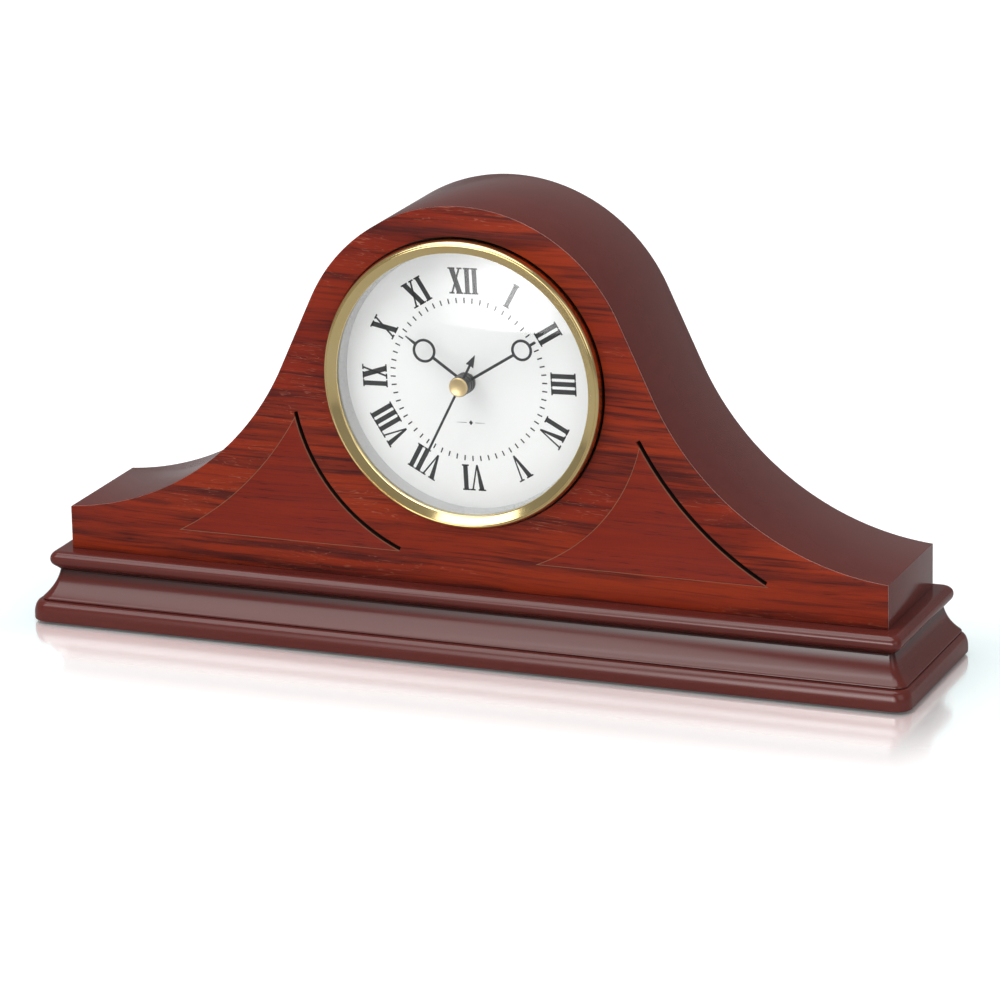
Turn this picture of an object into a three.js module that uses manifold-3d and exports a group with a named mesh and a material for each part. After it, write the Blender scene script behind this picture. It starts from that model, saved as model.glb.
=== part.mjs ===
// Tambour mantel clock with a quartz movement, in millimetres.
// +Z is up, +X is along the clock, and the dial faces -Y.
// The origin is on the surface that the clock stands on, under the middle of its base.
import * as THREE from "three";
import { mergeVertices } from "three/addons/utils/BufferGeometryUtils.js";
import Module from "manifold-3d";

const wasm = await Module();
wasm.setup();

// ---------------------------------------------------------------- driving dimensions

const GAP = 0.3; // between pieces that touch or are glued

// Case
const BODY_WIDTH = 372;
const BODY_DEPTH = 62.6;
const CROWN_RADIUS = 76;
const CROWN_HEIGHT = 165.6; // top of the case above its underside
const FLANK_ANGLE = THREE.MathUtils.degToRad(65); // slope of the straight flank between crown and sweep
const FLANK_LENGTH = 35.5;
const SWEEP_RADIUS = 123;
const VENEER = 1;
const BOARD = 9; // front board
const SHELL_WALL = 4.5; // bent top and ends
const BACK_BOARD = 5;
const BACK_RECESS = 1.3;
const BACK_OPENING_RADIUS = 52;
const CORNER_BLOCKS = { from: 112, to: 177, height: 12 }; // along X, and above the case's foot

// Base
const PAD_HEIGHT = 1;
const PLINTH_HEIGHT = 8.7;
const MOULDING_HEIGHT = 20.7;
const BASE_HEIGHT = PAD_HEIGHT + PLINTH_HEIGHT + GAP + MOULDING_HEIGHT;
const BEAD_OVERHANG = 8;
const BEAD_RADIUS = 3.4;
const NECK_OVERHANG = 5;
const NECK_DROP = 10;
const COVE_OVERHANG = 11.2;
const PLINTH_OVERHANG = 14;
const CASE_SETBACK = 2.8; // the case stands this far behind the middle of the plinth
const MOULDING_SETBACK = 1.5;
const PLINTH_ROUND = { across: 2.6, down: 6 };
const BASE_SCREWS = { x: 150, y: 12, length: 38, shank: 2, head: 4, sunk: 1, point: 3 };
const FOOT_PADS = { x: 180, y: 30.3, radius: 7, glue: 0.1 };

// Dial opening and the two arcs that the veneer seams and grooves follow, from the dial's centre
const DIAL_HEIGHT = BASE_HEIGHT + CROWN_HEIGHT - CROWN_RADIUS;
const OPENING_RADIUS = 63.2;
const BORE_RADIUS = 60.3;
const DIAL_ARC = { x: 0, y: -2.5, radius: 80.3 };
const SWEEP_ARC = { x: 202.7, y: 49.1, radius: 143.2 };
const SEAM_DROP = -76.3; // level seam under both inlays
const GROOVE_WIDTH = 2;
const GROOVE_DEPTH = 4.3;
const REBATE_DEPTH = 2; // of the counterbore in the front board that seats the dial set

// Dial set, with levels measured outwards from the face of the veneer
const BEZEL_RADIUS = 62.5;
const BEZEL_HEIGHT = 5;
const BEZEL_CREST = 59.2;
const BEZEL_LIP = { inner: 56.8, back: 2.1, front: 2.9 };
const LENS_RADIUS = 58.3;
const LENS_PEAK = 9.6;
const LENS_SAG = 8;
const LENS_THICKNESS = 1.4;
const REHAUT = { radius: 56.7, front: 0.05, draft: 0.5, shoulder: { across: 0.8, down: 0.6 } };
const DIAL_FACE = -6.5;
const DIAL_THICKNESS = 0.8;
const CUP_FLOOR = -9.5;
const NUT_RECESS = { radius: 6, floor: -8.9 }; // in the cup's floor, under the dial plate
const STRAP = { length: 138, height: 14, thickness: 1.2 };
const STRAP_SCREW = { x: 65, shank: 1.3, head: 2.8, slope: 1, crown: 1.6, reach: 5, point: 1.5 };
const RIM_STEPS = 48; // sides of every large ring, so that nested rings line up

// Movement: its front and back faces, and the arbors' places from the dial's centre
const CASE_SIZE = 56;
const CASE_FRONT = -13.2;
const CASE_SPLIT = -20.5;
const CASE_BACK = -29.2;
const CASE_WALL = 1.5;
const CASE_INSIDE = CASE_SIZE / 2 - CASE_WALL;
const BAY_TOP = -12; // the battery bay lies below this height
const BAY_WALL = 1.2;
const BUSH_RADIUS = 3.9;
const PIPE_RADIUS = 2.4; // hour pipe
const CANNON_RADIUS = 1.5; // minute cannon
const ARBOR_RADIUS = 0.6;
const RUNNING_GAP = 0.25;
const RUN_OUT = 0.4; // of an arbor past a wheel that it doesn't pivot behind
const PIVOT_DEPTH = 0.8;
const PIVOT_SHAKE = 0.2;
const BUSH_FRONT = -7.7;
const BUSH_FLANGE = { radius: 5.5, thickness: 0.5 };
const WASHER_RADIUS = 8;
const NUT = { radius: 5, bore: 4.1, back: -8.6, front: -7.7 };
const KNOB = { teeth: 16, radius: 6, thickness: 3.2, shaft: 1.1, hole: 1.5 };
const STATOR = { halfWidth: 17, bottom: 12.2, top: 19.8, back: -19.2, front: -17.8, rotorHole: 3.6 };
const STATOR_ARM = { x: 15, halfWidth: 2, top: 21.6 };
const COIL_CORE = { bottom: 21.9, top: 24.3 };
const COIL = { inner: 1.75, outer: 2.8, halfLength: 11 };
const CARD = { left: 10, right: 26, bottom: 9.6, top: 20, back: -21.8, front: -21 };
const CHIP = { left: 12, right: 16, bottom: 12, top: 16, back: -23.2, front: -22.1 };
const CRYSTAL = { radius: 1, length: 6, x: 18.5, height: 14, level: -23.2 };
const BATTERY = { radius: 6.9, length: 49, nub: 2.75, nubLength: 1, edge: 0.6 };
const BATTERY_PLACE = { x: -0.5, height: -19.25, level: -22 };
const CONTACT = { thickness: 0.4, bottom: -25.6, top: -14, back: -27.5, front: -15.4 };

// Wheel train: tooth counts and tip radii. Every pair stands slightly short of full mesh.
const MESH_GAP = 0.2;
const HOUR_WHEEL = { teeth: 24, radius: 7 };
const DAY_PINION = { teeth: 6, radius: 1.8 };
const DAY_WHEEL = { teeth: 18, radius: 6 };
const CANNON_PINION = { teeth: 6, radius: 2.8 };
const CENTRE_WHEEL = { teeth: 48, radius: 10.3 };
const THIRD_PINION = { teeth: 6, radius: 1.5 };
const THIRD_WHEEL = { teeth: 45, radius: 10 };
const SECONDS_PINION = { teeth: 6, radius: 1.8 };
const SECONDS_WHEEL = { teeth: 36, radius: 8 };
const STEP_PINION = { teeth: 6, radius: 1.3 };
const STEP_WHEEL = { teeth: 30, radius: 6.7 };
const ROTOR_PINION = { teeth: 6, radius: 1.3 };
const SETTING_PINION = { teeth: 9, radius: 3 };
const ROTOR_RADIUS = 3;

// Back and front of each wheel and pinion
const LEVELS = {
  hourWheel: [-16.6, -15.8],
  dayWheel: [-18, -17.2],
  dayPinion: [-17.3, -15.8],
  centreWheel: [-19.8, -19],
  cannonPinion: [-18.3, -17],
  thirdWheel: [-22, -21.2],
  thirdPinion: [-21.3, -18.8],
  secondsWheel: [-24, -23.2],
  secondsPinion: [-23.3, -20.9],
  stepWheel: [-26.1, -25.3],
  stepPinion: [-25.4, -22.9],
  rotorMagnet: [-20, -17],
  rotorPinion: [-26.4, -24.9],
  settingPinion: [-18.1, -17],
};

// Hands, with their angles clockwise from twelve at nine and a half minutes past ten
const HANDS = {
  hour: { angle: 304.3, ring: 22.1, ringRadius: 5.15, tip: 32.3, level: -1.9, hub: 4.5 },
  minute: { angle: 57.8, ring: 31.45, ringRadius: 4.65, tip: 38.8, level: 0.2, hub: 4.4 },
  second: { angle: 206.9, tip: 36, tail: 15.7, headLength: 5.1, headWidth: 3.7, level: 4.2, hub: 4.3 },
};
const COLLAR = { behind: 0.5, ahead: 1.3 }; // of a ring hand, from the back of its blade
const HAND_WIDTH = 1.2;
const HAND_THICKNESS = 0.5;
const RING_BAND = 1.1;
const POINT_WIDTH = 0.3;
const CUP = { back: 1.8, front: 5.6, boreFront: 4.9 }; // over the end of the seconds arbor
const HUB_CAP = { radius: 4.1, thickness: 0.5, chamfer: { across: 0.3, down: 0.2 } };

// ---------------------------------------------------------------- materials

const paint = (color, roughness, metalness = 0) =>
  new THREE.MeshStandardMaterial({ color, roughness, metalness });
const redVeneer = () => paint(0x8e2a18, 0.32);
const darkLacquer = () => paint(0x57302d, 0.28);
const rawBoard = () => paint(0xa9855c, 0.85);
const brass = () => paint(0xe6cf8f, 0.18, 1);
const steel = () => paint(0xb8bcc0, 0.35, 1);
const blackMetal = () => paint(0x26272a, 0.4, 0.6);
const whiteDial = () => paint(0xf4f4f2, 0.6);
const greyPlastic = () => paint(0xc9cbcf, 0.4);
const blackPlastic = () => paint(0x1c1d1f, 0.5);
const whitePlastic = () => paint(0xe8e6df, 0.5);
const copper = () => paint(0xb9683a, 0.35, 1);
const felt = () => paint(0x2c2624, 0.95);

// ---------------------------------------------------------------- shape helpers

// Joins shared vertices and turns the faces outwards.
function closed(geometry) {
  geometry.deleteAttribute("normal");
  geometry.deleteAttribute("uv");
  const merged = mergeVertices(geometry, 1e-4);
  const p = merged.attributes.position;
  const index = merged.index.array;
  const [a, b, c] = [new THREE.Vector3(), new THREE.Vector3(), new THREE.Vector3()];
  let volume = 0;
  for (let i = 0; i < index.length; i += 3) {
    a.fromBufferAttribute(p, index[i]);
    b.fromBufferAttribute(p, index[i + 1]);
    c.fromBufferAttribute(p, index[i + 2]);
    volume += a.dot(b.cross(c));
  }
  if (volume < 0) {
    for (let i = 0; i < index.length; i += 3) [index[i], index[i + 1]] = [index[i + 1], index[i]];
  }
  return merged;
}

function solidOf(geometry) {
  const { attributes, index } = closed(geometry);
  return new wasm.Manifold(
    new wasm.Mesh({
      numProp: 3,
      vertProperties: new Float32Array(attributes.position.array),
      triVerts: new Uint32Array(index.array),
    }),
  );
}

function geometryOf(solid) {
  const { vertProperties, triVerts } = solid.getMesh();
  return new THREE.BufferGeometry()
    .setAttribute("position", new THREE.BufferAttribute(vertProperties, 3))
    .setIndex(new THREE.BufferAttribute(triVerts, 1));
}

const join = (first, ...rest) =>
  geometryOf(rest.reduce((solid, geometry) => solid.add(solidOf(geometry)), solidOf(first)));
const cut = (first, ...rest) =>
  geometryOf(rest.reduce((solid, geometry) => solid.subtract(solidOf(geometry)), solidOf(first)));

// An outline drawn as seen from the front, between two levels. Level runs outwards, towards the viewer.
function extruded(shape, back, front, curveSegments = 14) {
  const options = { depth: front - back, bevelEnabled: false, curveSegments };
  return new THREE.ExtrudeGeometry(shape, options).translate(0, 0, back);
}

// A turned piece about the dial's axis, from [radius, level] points.
function turned(profile, steps = RIM_STEPS) {
  const points = profile.map(([radius, level]) => new THREE.Vector2(radius, level));
  return closed(new THREE.LatheGeometry(points, steps)).rotateX(Math.PI / 2);
}

const disc = (radius, back, front, steps = 24) =>
  turned([[0, back], [radius, back], [radius, front], [0, front]], steps);
const ring = (inner, outer, back, front, steps = 24) =>
  turned([[inner, back], [outer, back], [outer, front], [inner, front], [inner, back]], steps);

// A box from its lowest to its highest corner.
function block([x0, y0, z0], [x1, y1, z1]) {
  const box = new THREE.BoxGeometry(x1 - x0, y1 - y0, z1 - z0);
  return box.translate((x0 + x1) / 2, (y0 + y1) / 2, (z0 + z1) / 2);
}

function circlePath(radius, x = 0, y = 0, steps = RIM_STEPS) {
  const points = [];
  for (let i = 0; i < steps; i++) {
    const a = (i / steps) * 2 * Math.PI;
    points.push(new THREE.Vector2(x + radius * Math.cos(a), y + radius * Math.sin(a)));
  }
  return new THREE.Path().setFromPoints(points);
}

function addMesh(parent, name, geometry, material) {
  const mesh = new THREE.Mesh(geometry, material);
  mesh.name = name;
  parent.add(mesh);
  return mesh;
}

// ---------------------------------------------------------------- case

const crownCentre = DIAL_HEIGHT;
const flankTop = {
  x: CROWN_RADIUS * Math.sin(FLANK_ANGLE),
  y: crownCentre + CROWN_RADIUS * Math.cos(FLANK_ANGLE),
};
const sweepCentre = {
  x: flankTop.x + FLANK_LENGTH * Math.cos(FLANK_ANGLE) + SWEEP_RADIUS * Math.sin(FLANK_ANGLE),
  y: flankTop.y - FLANK_LENGTH * Math.sin(FLANK_ANGLE) + SWEEP_RADIUS * Math.cos(FLANK_ANGLE),
};

// Level foot, upright ends, hollow sweeps, straight flanks and a round crown, moved inwards by inset.
function caseOutline(inset) {
  const halfWidth = BODY_WIDTH / 2 - inset;
  const sweepRadius = SWEEP_RADIUS + inset;
  const endAngle = Math.asin((sweepCentre.x - halfWidth) / sweepRadius);
  const down = -Math.PI / 2;
  const up = Math.PI / 2;
  const shape = new THREE.Shape();
  shape.moveTo(-halfWidth, BASE_HEIGHT);
  shape.lineTo(halfWidth, BASE_HEIGHT);
  shape.absarc(sweepCentre.x, sweepCentre.y, sweepRadius, down - endAngle, down - FLANK_ANGLE, true);
  shape.absarc(0, crownCentre, CROWN_RADIUS - inset, up - FLANK_ANGLE, up + FLANK_ANGLE, false);
  shape.absarc(-sweepCentre.x, sweepCentre.y, sweepRadius, down + FLANK_ANGLE, down + endAngle, true);
  return shape;
}

// Where two circles cross, on the side of smaller height.
function lowerCrossing(p, q) {
  const dx = q.x - p.x;
  const dy = q.y - p.y;
  const apart = Math.hypot(dx, dy);
  const along = (p.radius ** 2 - q.radius ** 2 + apart ** 2) / (2 * apart);
  const aside = Math.sqrt(p.radius ** 2 - along ** 2);
  return { x: p.x + (along * dx + aside * dy) / apart, y: p.y + (along * dy - aside * dx) / apart };
}

const angleOf = (arc, point) => Math.atan2(point.y - arc.y, point.x - arc.x);

// The curved triangle of veneer to the right of the dial, between the dial arc, the sweep arc and
// the level seam.
function inlayShape(grow) {
  const dialArc = { ...DIAL_ARC, radius: DIAL_ARC.radius - grow };
  const sweepArc = { ...SWEEP_ARC, radius: SWEEP_ARC.radius - grow };
  const seam = SEAM_DROP - grow;
  const apex = lowerCrossing(dialArc, sweepArc);
  const inner = { x: dialArc.x + Math.sqrt(dialArc.radius ** 2 - (seam - dialArc.y) ** 2), y: seam };
  const outer = { x: sweepArc.x - Math.sqrt(sweepArc.radius ** 2 - (seam - sweepArc.y) ** 2), y: seam };
  const apexOnSweep = angleOf(sweepArc, apex) + 2 * Math.PI;
  const outerOnSweep = angleOf(sweepArc, outer) + 2 * Math.PI;
  const shape = new THREE.Shape();
  const innerOnDial = angleOf(dialArc, inner);
  const apexOnDial = angleOf(dialArc, apex);
  shape.absarc(dialArc.x, dialArc.y, dialArc.radius, innerOnDial, apexOnDial, false);
  shape.absarc(sweepArc.x, sweepArc.y, sweepArc.radius, apexOnSweep, outerOnSweep, false);
  return shape;
}

// A slot of constant width that ends on the given arc, on the side of the arc's centre.
function arcSlot(arc, start, end) {
  const shape = new THREE.Shape();
  shape.absarc(arc.x, arc.y, arc.radius, start, end, false);
  shape.absarc(arc.x, arc.y, arc.radius - GROOVE_WIDTH, end, start, true);
  return shape;
}

const degrees = THREE.MathUtils.degToRad;
const leftGroove = () => arcSlot(DIAL_ARC, degrees(-168.2), degrees(-113));
const rightGroove = () => arcSlot(SWEEP_ARC, degrees(208.3), degrees(240.8));

const mirrored = (geometry) => closed(geometry.scale(-1, 1, 1));
const atDial = (geometry) => geometry.translate(0, DIAL_HEIGHT, 0);

// The cutters for the two grooves, from the given level up through the face.
const grooveCutters = (back) =>
  [leftGroove(), rightGroove()].map((slot) => atDial(extruded(slot, back, GAP, 16)));

function addVeneers(parent) {
  const outline = caseOutline(0);
  outline.holes.push(circlePath(OPENING_RADIUS, 0, DIAL_HEIGHT));
  const sheet = extruded(outline, -VENEER, 0);
  const pocket = () => extruded(inlayShape(GAP / 2), -2 * VENEER, VENEER, 16);
  const pockets = [atDial(pocket()), atDial(mirrored(pocket()))];
  addMesh(parent, "front_veneer", cut(sheet, ...pockets, ...grooveCutters(-2 * VENEER)), redVeneer());
  const inlay = () => extruded(inlayShape(-GAP / 2), -VENEER, 0, 16);
  addMesh(parent, "veneer_inlay_left", atDial(mirrored(inlay())), redVeneer());
  addMesh(parent, "veneer_inlay_right", atDial(closed(inlay())), redVeneer());
}

const boardFront = -VENEER - GAP;
const boardBack = boardFront - BOARD;
const counterbore = boardFront - REBATE_DEPTH;

function addFrontBoard(parent) {
  const outline = caseOutline(SHELL_WALL + GAP);
  outline.holes.push(circlePath(BORE_RADIUS, 0, DIAL_HEIGHT));
  const rebate = atDial(disc(OPENING_RADIUS, counterbore, 0, RIM_STEPS));
  const pilotEnd = boardBack + STRAP_SCREW.reach + GAP;
  const pilot = () => disc(STRAP_SCREW.shank + GAP, boardBack - 1, pilotEnd, 12);
  const pilots = [-1, 1].map((side) => atDial(pilot()).translate(side * STRAP_SCREW.x, 0, 0));
  const sheet = extruded(outline, boardBack, boardFront);
  const board = cut(sheet, rebate, ...grooveCutters(-GROOVE_DEPTH), ...pilots);
  addMesh(parent, "front_board", board, rawBoard());
}

function addShellAndBack(parent) {
  const outside = extruded(caseOutline(0), -BODY_DEPTH, boardFront);
  const inside = extruded(caseOutline(SHELL_WALL), -BODY_DEPTH - 1, 0);
  const footCutter = block(
    [-BODY_WIDTH / 2 + SHELL_WALL, BASE_HEIGHT - 1, -BODY_DEPTH - 1],
    [BODY_WIDTH / 2 - SHELL_WALL, BASE_HEIGHT + 1, 0],
  );
  addMesh(parent, "case_shell", cut(outside, inside, footCutter), darkLacquer());

  const outline = caseOutline(SHELL_WALL + GAP);
  outline.holes.push(circlePath(BACK_OPENING_RADIUS, 0, DIAL_HEIGHT));
  const back = -BODY_DEPTH + BACK_RECESS;
  addMesh(parent, "back_board", extruded(outline, back, back + BACK_BOARD), darkLacquer());
}

// Glue blocks in the two shoulders, which take the screws that hold the base.
function addCornerBlocks(parent) {
  const back = -BODY_DEPTH + BACK_RECESS + BACK_BOARD + GAP;
  const { from, to, height } = CORNER_BLOCKS;
  const foot = BASE_HEIGHT + GAP;
  const front = boardBack - GAP;
  for (const [name, left, right] of [["left", -to, -from], ["right", from, to]]) {
    const body = block([left, foot, back], [right, BASE_HEIGHT + height, front]);
    addMesh(parent, "corner_block_" + name, cut(body, ...baseScrewHoles()), rawBoard());
  }
}

// ---------------------------------------------------------------- base

// A rectangle with round corners, as points from corner to corner.
function roundedLoop(halfX, halfY, radius, height, shift) {
  const steps = 3;
  const loop = [];
  const corners = [[1, 1, 0], [-1, 1, 1], [-1, -1, 2], [1, -1, 3]];
  for (const [sx, sy, quarter] of corners) {
    for (let i = 0; i <= steps; i++) {
      const a = (quarter + i / steps) * (Math.PI / 2);
      const x = sx * (halfX - radius) + radius * Math.cos(a);
      const y = sy * (halfY - radius) + radius * Math.sin(a);
      loop.push([x, y + shift, height]);
    }
  }
  return loop;
}

// A moulding that runs round all four sides, its middle moved back by shift. The profile gives
// overhang and height from the top down.
function mouldingSolid(profile, shift) {
  const loops = profile.map(({ x: overhang, y: height }) => {
    const corner = 1 + Math.max(0, overhang) * 0.2;
    return roundedLoop(BODY_WIDTH / 2 + overhang, BODY_DEPTH / 2 + overhang, corner, height, shift);
  });
  const count = loops[0].length;
  const index = [];
  for (let row = 0; row + 1 < loops.length; row++) {
    for (let i = 0; i < count; i++) {
      const j = (i + 1) % count;
      const upper = row * count;
      const lower = upper + count;
      index.push(upper + i, lower + i, upper + j, upper + j, lower + i, lower + j);
    }
  }
  const last = (loops.length - 1) * count;
  for (let i = 1; i + 1 < count; i++) {
    index.push(0, i, i + 1);
    index.push(last, last + i + 1, last + i);
  }
  const geometry = new THREE.BufferGeometry();
  geometry.setAttribute("position", new THREE.Float32BufferAttribute(loops.flat(2), 3));
  return closed(geometry.setIndex(index));
}

const mouldingTop = BASE_HEIGHT - GAP;
const mouldingFoot = PAD_HEIGHT + PLINTH_HEIGHT + GAP;

function mouldingProfile() {
  const neck = BASE_HEIGHT - NECK_DROP;
  const path = new THREE.Path();
  const bead = { x: BEAD_OVERHANG - BEAD_RADIUS, y: mouldingTop - BEAD_RADIUS };
  path.absarc(bead.x, bead.y, BEAD_RADIUS, Math.PI / 2, 0, true);
  path.quadraticCurveTo(NECK_OVERHANG + 0.6, neck + 3.2, NECK_OVERHANG, neck);
  path.quadraticCurveTo(NECK_OVERHANG + 0.4, neck - 5, COVE_OVERHANG, mouldingFoot);
  return path.getPoints(5);
}

function plinthProfile() {
  const top = PAD_HEIGHT + PLINTH_HEIGHT;
  const path = new THREE.Path();
  const { across, down } = PLINTH_ROUND;
  path.absellipse(PLINTH_OVERHANG - across, top - down, across, down, Math.PI / 2, 0, true);
  path.lineTo(PLINTH_OVERHANG, PAD_HEIGHT + 0.5);
  path.lineTo(PLINTH_OVERHANG - 0.5, PAD_HEIGHT);
  return path.getPoints(5);
}

const screwPlaces = () =>
  [-1, 1].flatMap((sx) => [-1, 1].map((sy) => [sx * BASE_SCREWS.x, CASE_SETBACK + sy * BASE_SCREWS.y]));
const screwFoot = PAD_HEIGHT + BASE_SCREWS.sunk;
const screwTop = screwFoot + BASE_SCREWS.length;

const screwShoulder = screwFoot + BASE_SCREWS.head - BASE_SCREWS.shank;
const screwTaper = screwTop - BASE_SCREWS.point;

// A countersunk wood screw standing head down.
function baseScrew() {
  const { shank, head } = BASE_SCREWS;
  const below = [[0, screwFoot], [head, screwFoot], [shank, screwShoulder]];
  return turned([...below, [shank, screwTaper], [0, screwTop]], 12);
}

// The hole for a base screw, from below the base upwards.
function baseScrewHole() {
  const shank = BASE_SCREWS.shank + GAP;
  const head = BASE_SCREWS.head + GAP;
  const below = [[0, 0], [head, 0], [head, screwFoot], [shank, screwShoulder]];
  return turned([...below, [shank, screwTaper], [GAP, screwTop + GAP], [0, screwTop + GAP]], 12);
}

// The same holes in the case's own frame, where y is height and z runs forwards.
const baseScrewHoles = () =>
  screwPlaces().map(([x, y]) =>
    baseScrewHole().rotateX(-Math.PI / 2).translate(x, 0, CASE_SETBACK - BODY_DEPTH / 2 - y),
  );

function addBase(parent) {
  const holes = () => screwPlaces().map(([x, y]) => baseScrewHole().translate(x, y, 0));
  const moulding = cut(mouldingSolid(mouldingProfile(), MOULDING_SETBACK), ...holes());
  addMesh(parent, "base_moulding", moulding, darkLacquer());
  addMesh(parent, "base_plinth", cut(mouldingSolid(plinthProfile(), 0), ...holes()), darkLacquer());
  screwPlaces().forEach(([x, y], i) => {
    addMesh(parent, "base_screw_" + (i + 1), baseScrew(), steel()).position.set(x, y, 0);
  });
  const { x: padX, y: padY, radius, glue } = FOOT_PADS;
  [[-1, -1], [-1, 1], [1, -1], [1, 1]].forEach(([sx, sy], i) => {
    const pad = addMesh(parent, "foot_pad_" + (i + 1), disc(radius, 0, PAD_HEIGHT - glue, 16), felt());
    pad.position.set(sx * padX, sy * padY, 0);
  });
}

// ---------------------------------------------------------------- dial set

function addBezel(parent) {
  const seat = LENS_RADIUS + GAP;
  const profile = [
    [seat, counterbore + GAP],
    [BEZEL_RADIUS, counterbore + GAP],
    [BEZEL_RADIUS, 1.5],
    [BEZEL_RADIUS - 0.5, 3.2],
    [BEZEL_RADIUS - 1.6, 4.5],
    [BEZEL_CREST, BEZEL_HEIGHT],
    [BEZEL_CREST - 1, BEZEL_HEIGHT - 0.4],
    [BEZEL_LIP.inner, BEZEL_LIP.front],
    [BEZEL_LIP.inner, BEZEL_LIP.back],
    [seat, BEZEL_LIP.back],
    [seat, counterbore + GAP],
  ];
  addMesh(parent, "bezel", turned(profile), brass());
}

// A shallow dome of even thickness, highest on the dial's axis.
function addLens(parent) {
  const rings = 6;
  const front = [];
  const back = [];
  for (let i = 0; i <= rings; i++) {
    const share = i / rings;
    const level = LENS_PEAK - LENS_SAG * share ** 2;
    front.unshift([LENS_RADIUS * share, level]);
    back.push([LENS_RADIUS * share, level - LENS_THICKNESS]);
  }
  const glass = paint(0xffffff, 0.03);
  glass.transparent = true;
  glass.opacity = 0.2;
  addMesh(parent, "glass_lens", turned([...back, ...front]), glass);
}

function addDialAndCup(parent) {
  const { radius, front, draft, shoulder } = REHAUT;
  const rehaut = [
    [radius - draft, DIAL_FACE + GAP],
    [LENS_RADIUS, DIAL_FACE + GAP],
    [LENS_RADIUS, front - shoulder.down],
    [LENS_RADIUS - shoulder.across, front],
    [radius, front],
    [radius - draft, DIAL_FACE + GAP],
  ];
  addMesh(parent, "rehaut_ring", turned(rehaut), greyPlastic());
  const dialBack = DIAL_FACE - DIAL_THICKNESS;
  const plate = ring(PIPE_RADIUS + GAP, LENS_RADIUS, dialBack, DIAL_FACE, RIM_STEPS);
  addMesh(parent, "dial_plate", plate, whiteDial());
  const hole = BUSH_RADIUS + GAP;
  const wall = LENS_RADIUS + GAP;
  const cup = [
    [hole, CUP_FLOOR],
    [BORE_RADIUS - GAP, CUP_FLOOR],
    [BORE_RADIUS - GAP, counterbore],
    [wall, counterbore],
    [wall, dialBack - GAP],
    [NUT_RECESS.radius, dialBack - GAP],
    [NUT_RECESS.radius, NUT_RECESS.floor],
    [hole, NUT_RECESS.floor],
    [hole, CUP_FLOOR],
  ];
  addMesh(parent, "dial_cup", turned(cup), blackPlastic());
}

// ---------------------------------------------------------------- clamp strap and its screws

const strapFront = boardBack - GAP;
const strapBack = strapFront - STRAP.thickness;

function addStrap(parent) {
  const outline = new THREE.Shape();
  const end = STRAP.length / 2 - STRAP.height / 2;
  outline.absarc(end, 0, STRAP.height / 2, -Math.PI / 2, Math.PI / 2, false);
  outline.absarc(-end, 0, STRAP.height / 2, Math.PI / 2, (3 * Math.PI) / 2, false);
  outline.holes.push(circlePath(BUSH_RADIUS + GAP, 0, 0, 24));
  outline.holes.push(circlePath(STRAP_SCREW.shank + GAP, STRAP_SCREW.x, 0, 12));
  outline.holes.push(circlePath(STRAP_SCREW.shank + GAP, -STRAP_SCREW.x, 0, 12));
  addMesh(parent, "clamp_strap", extruded(outline, strapBack, strapFront, 8), steel());
  for (const [name, side] of [["left", -1], ["right", 1]]) {
    const { shank, head, slope, crown, reach, point: taper } = STRAP_SCREW;
    const headFront = strapBack - GAP;
    const tip = boardBack + reach;
    const dome = [[0, headFront - crown], [head, headFront - slope], [head, headFront]];
    const profile = [...dome, [shank, headFront], [shank, tip - taper], [0, tip]];
    const screw = addMesh(parent, "strap_screw_" + name, turned(profile, 12), steel());
    screw.position.x = side * STRAP_SCREW.x;
  }
}

// ---------------------------------------------------------------- movement

// Arbor places. Each wheel stands the sum of its tip radii and a small gap from the one that drives it.
const away = (from, angle, ...radii) => {
  const reach = radii.reduce((sum, r) => sum + r, MESH_GAP);
  return [from[0] + reach * Math.cos(degrees(angle)), from[1] + reach * Math.sin(degrees(angle))];
};
const CENTRE = [0, 0];
const dayPlace = away(CENTRE, 20, CANNON_PINION.radius, DAY_WHEEL.radius);
const settingPlace = away(dayPlace, 20, DAY_WHEEL.radius, SETTING_PINION.radius);
const thirdPlace = away(CENTRE, 150, CENTRE_WHEEL.radius, THIRD_PINION.radius);
const stepPlace = away(CENTRE, 90, SECONDS_WHEEL.radius, STEP_PINION.radius);
const rotorPlace = away(stepPlace, 60, STEP_WHEEL.radius, ROTOR_PINION.radius);

const floorInside = CASE_FRONT - CASE_WALL;
const backInside = CASE_BACK + CASE_WALL;

// A toothed wheel with pointed teeth, between two levels.
function gear({ teeth, radius }, back, front, bore = 0) {
  const depth = (0.9 * Math.PI * radius) / teeth;
  const points = [];
  for (let i = 0; i < 2 * teeth; i++) {
    const a = (i / teeth) * Math.PI;
    const r = i % 2 ? radius - depth : radius;
    points.push(new THREE.Vector2(r * Math.sin(a), r * Math.cos(a)));
  }
  const shape = new THREE.Shape(points);
  if (bore > 0) shape.holes.push(circlePath(bore, 0, 0, 12));
  return extruded(shape, back, front);
}

const movementBox = (back, front, inset = 0) => {
  const half = CASE_SIZE / 2 - inset;
  return block([-half, -half, back], [half, half, front]);
};
const gearRoom = (back, front) =>
  block([-CASE_INSIDE, BAY_TOP + BAY_WALL, back], [CASE_INSIDE, CASE_INSIDE, front]);
const batteryRoom = (back, front) =>
  block([-CASE_INSIDE, -CASE_INSIDE, back], [CASE_INSIDE, BAY_TOP, front]);
const at = (geometry, [x, y]) => geometry.translate(x, y, 0);

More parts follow.
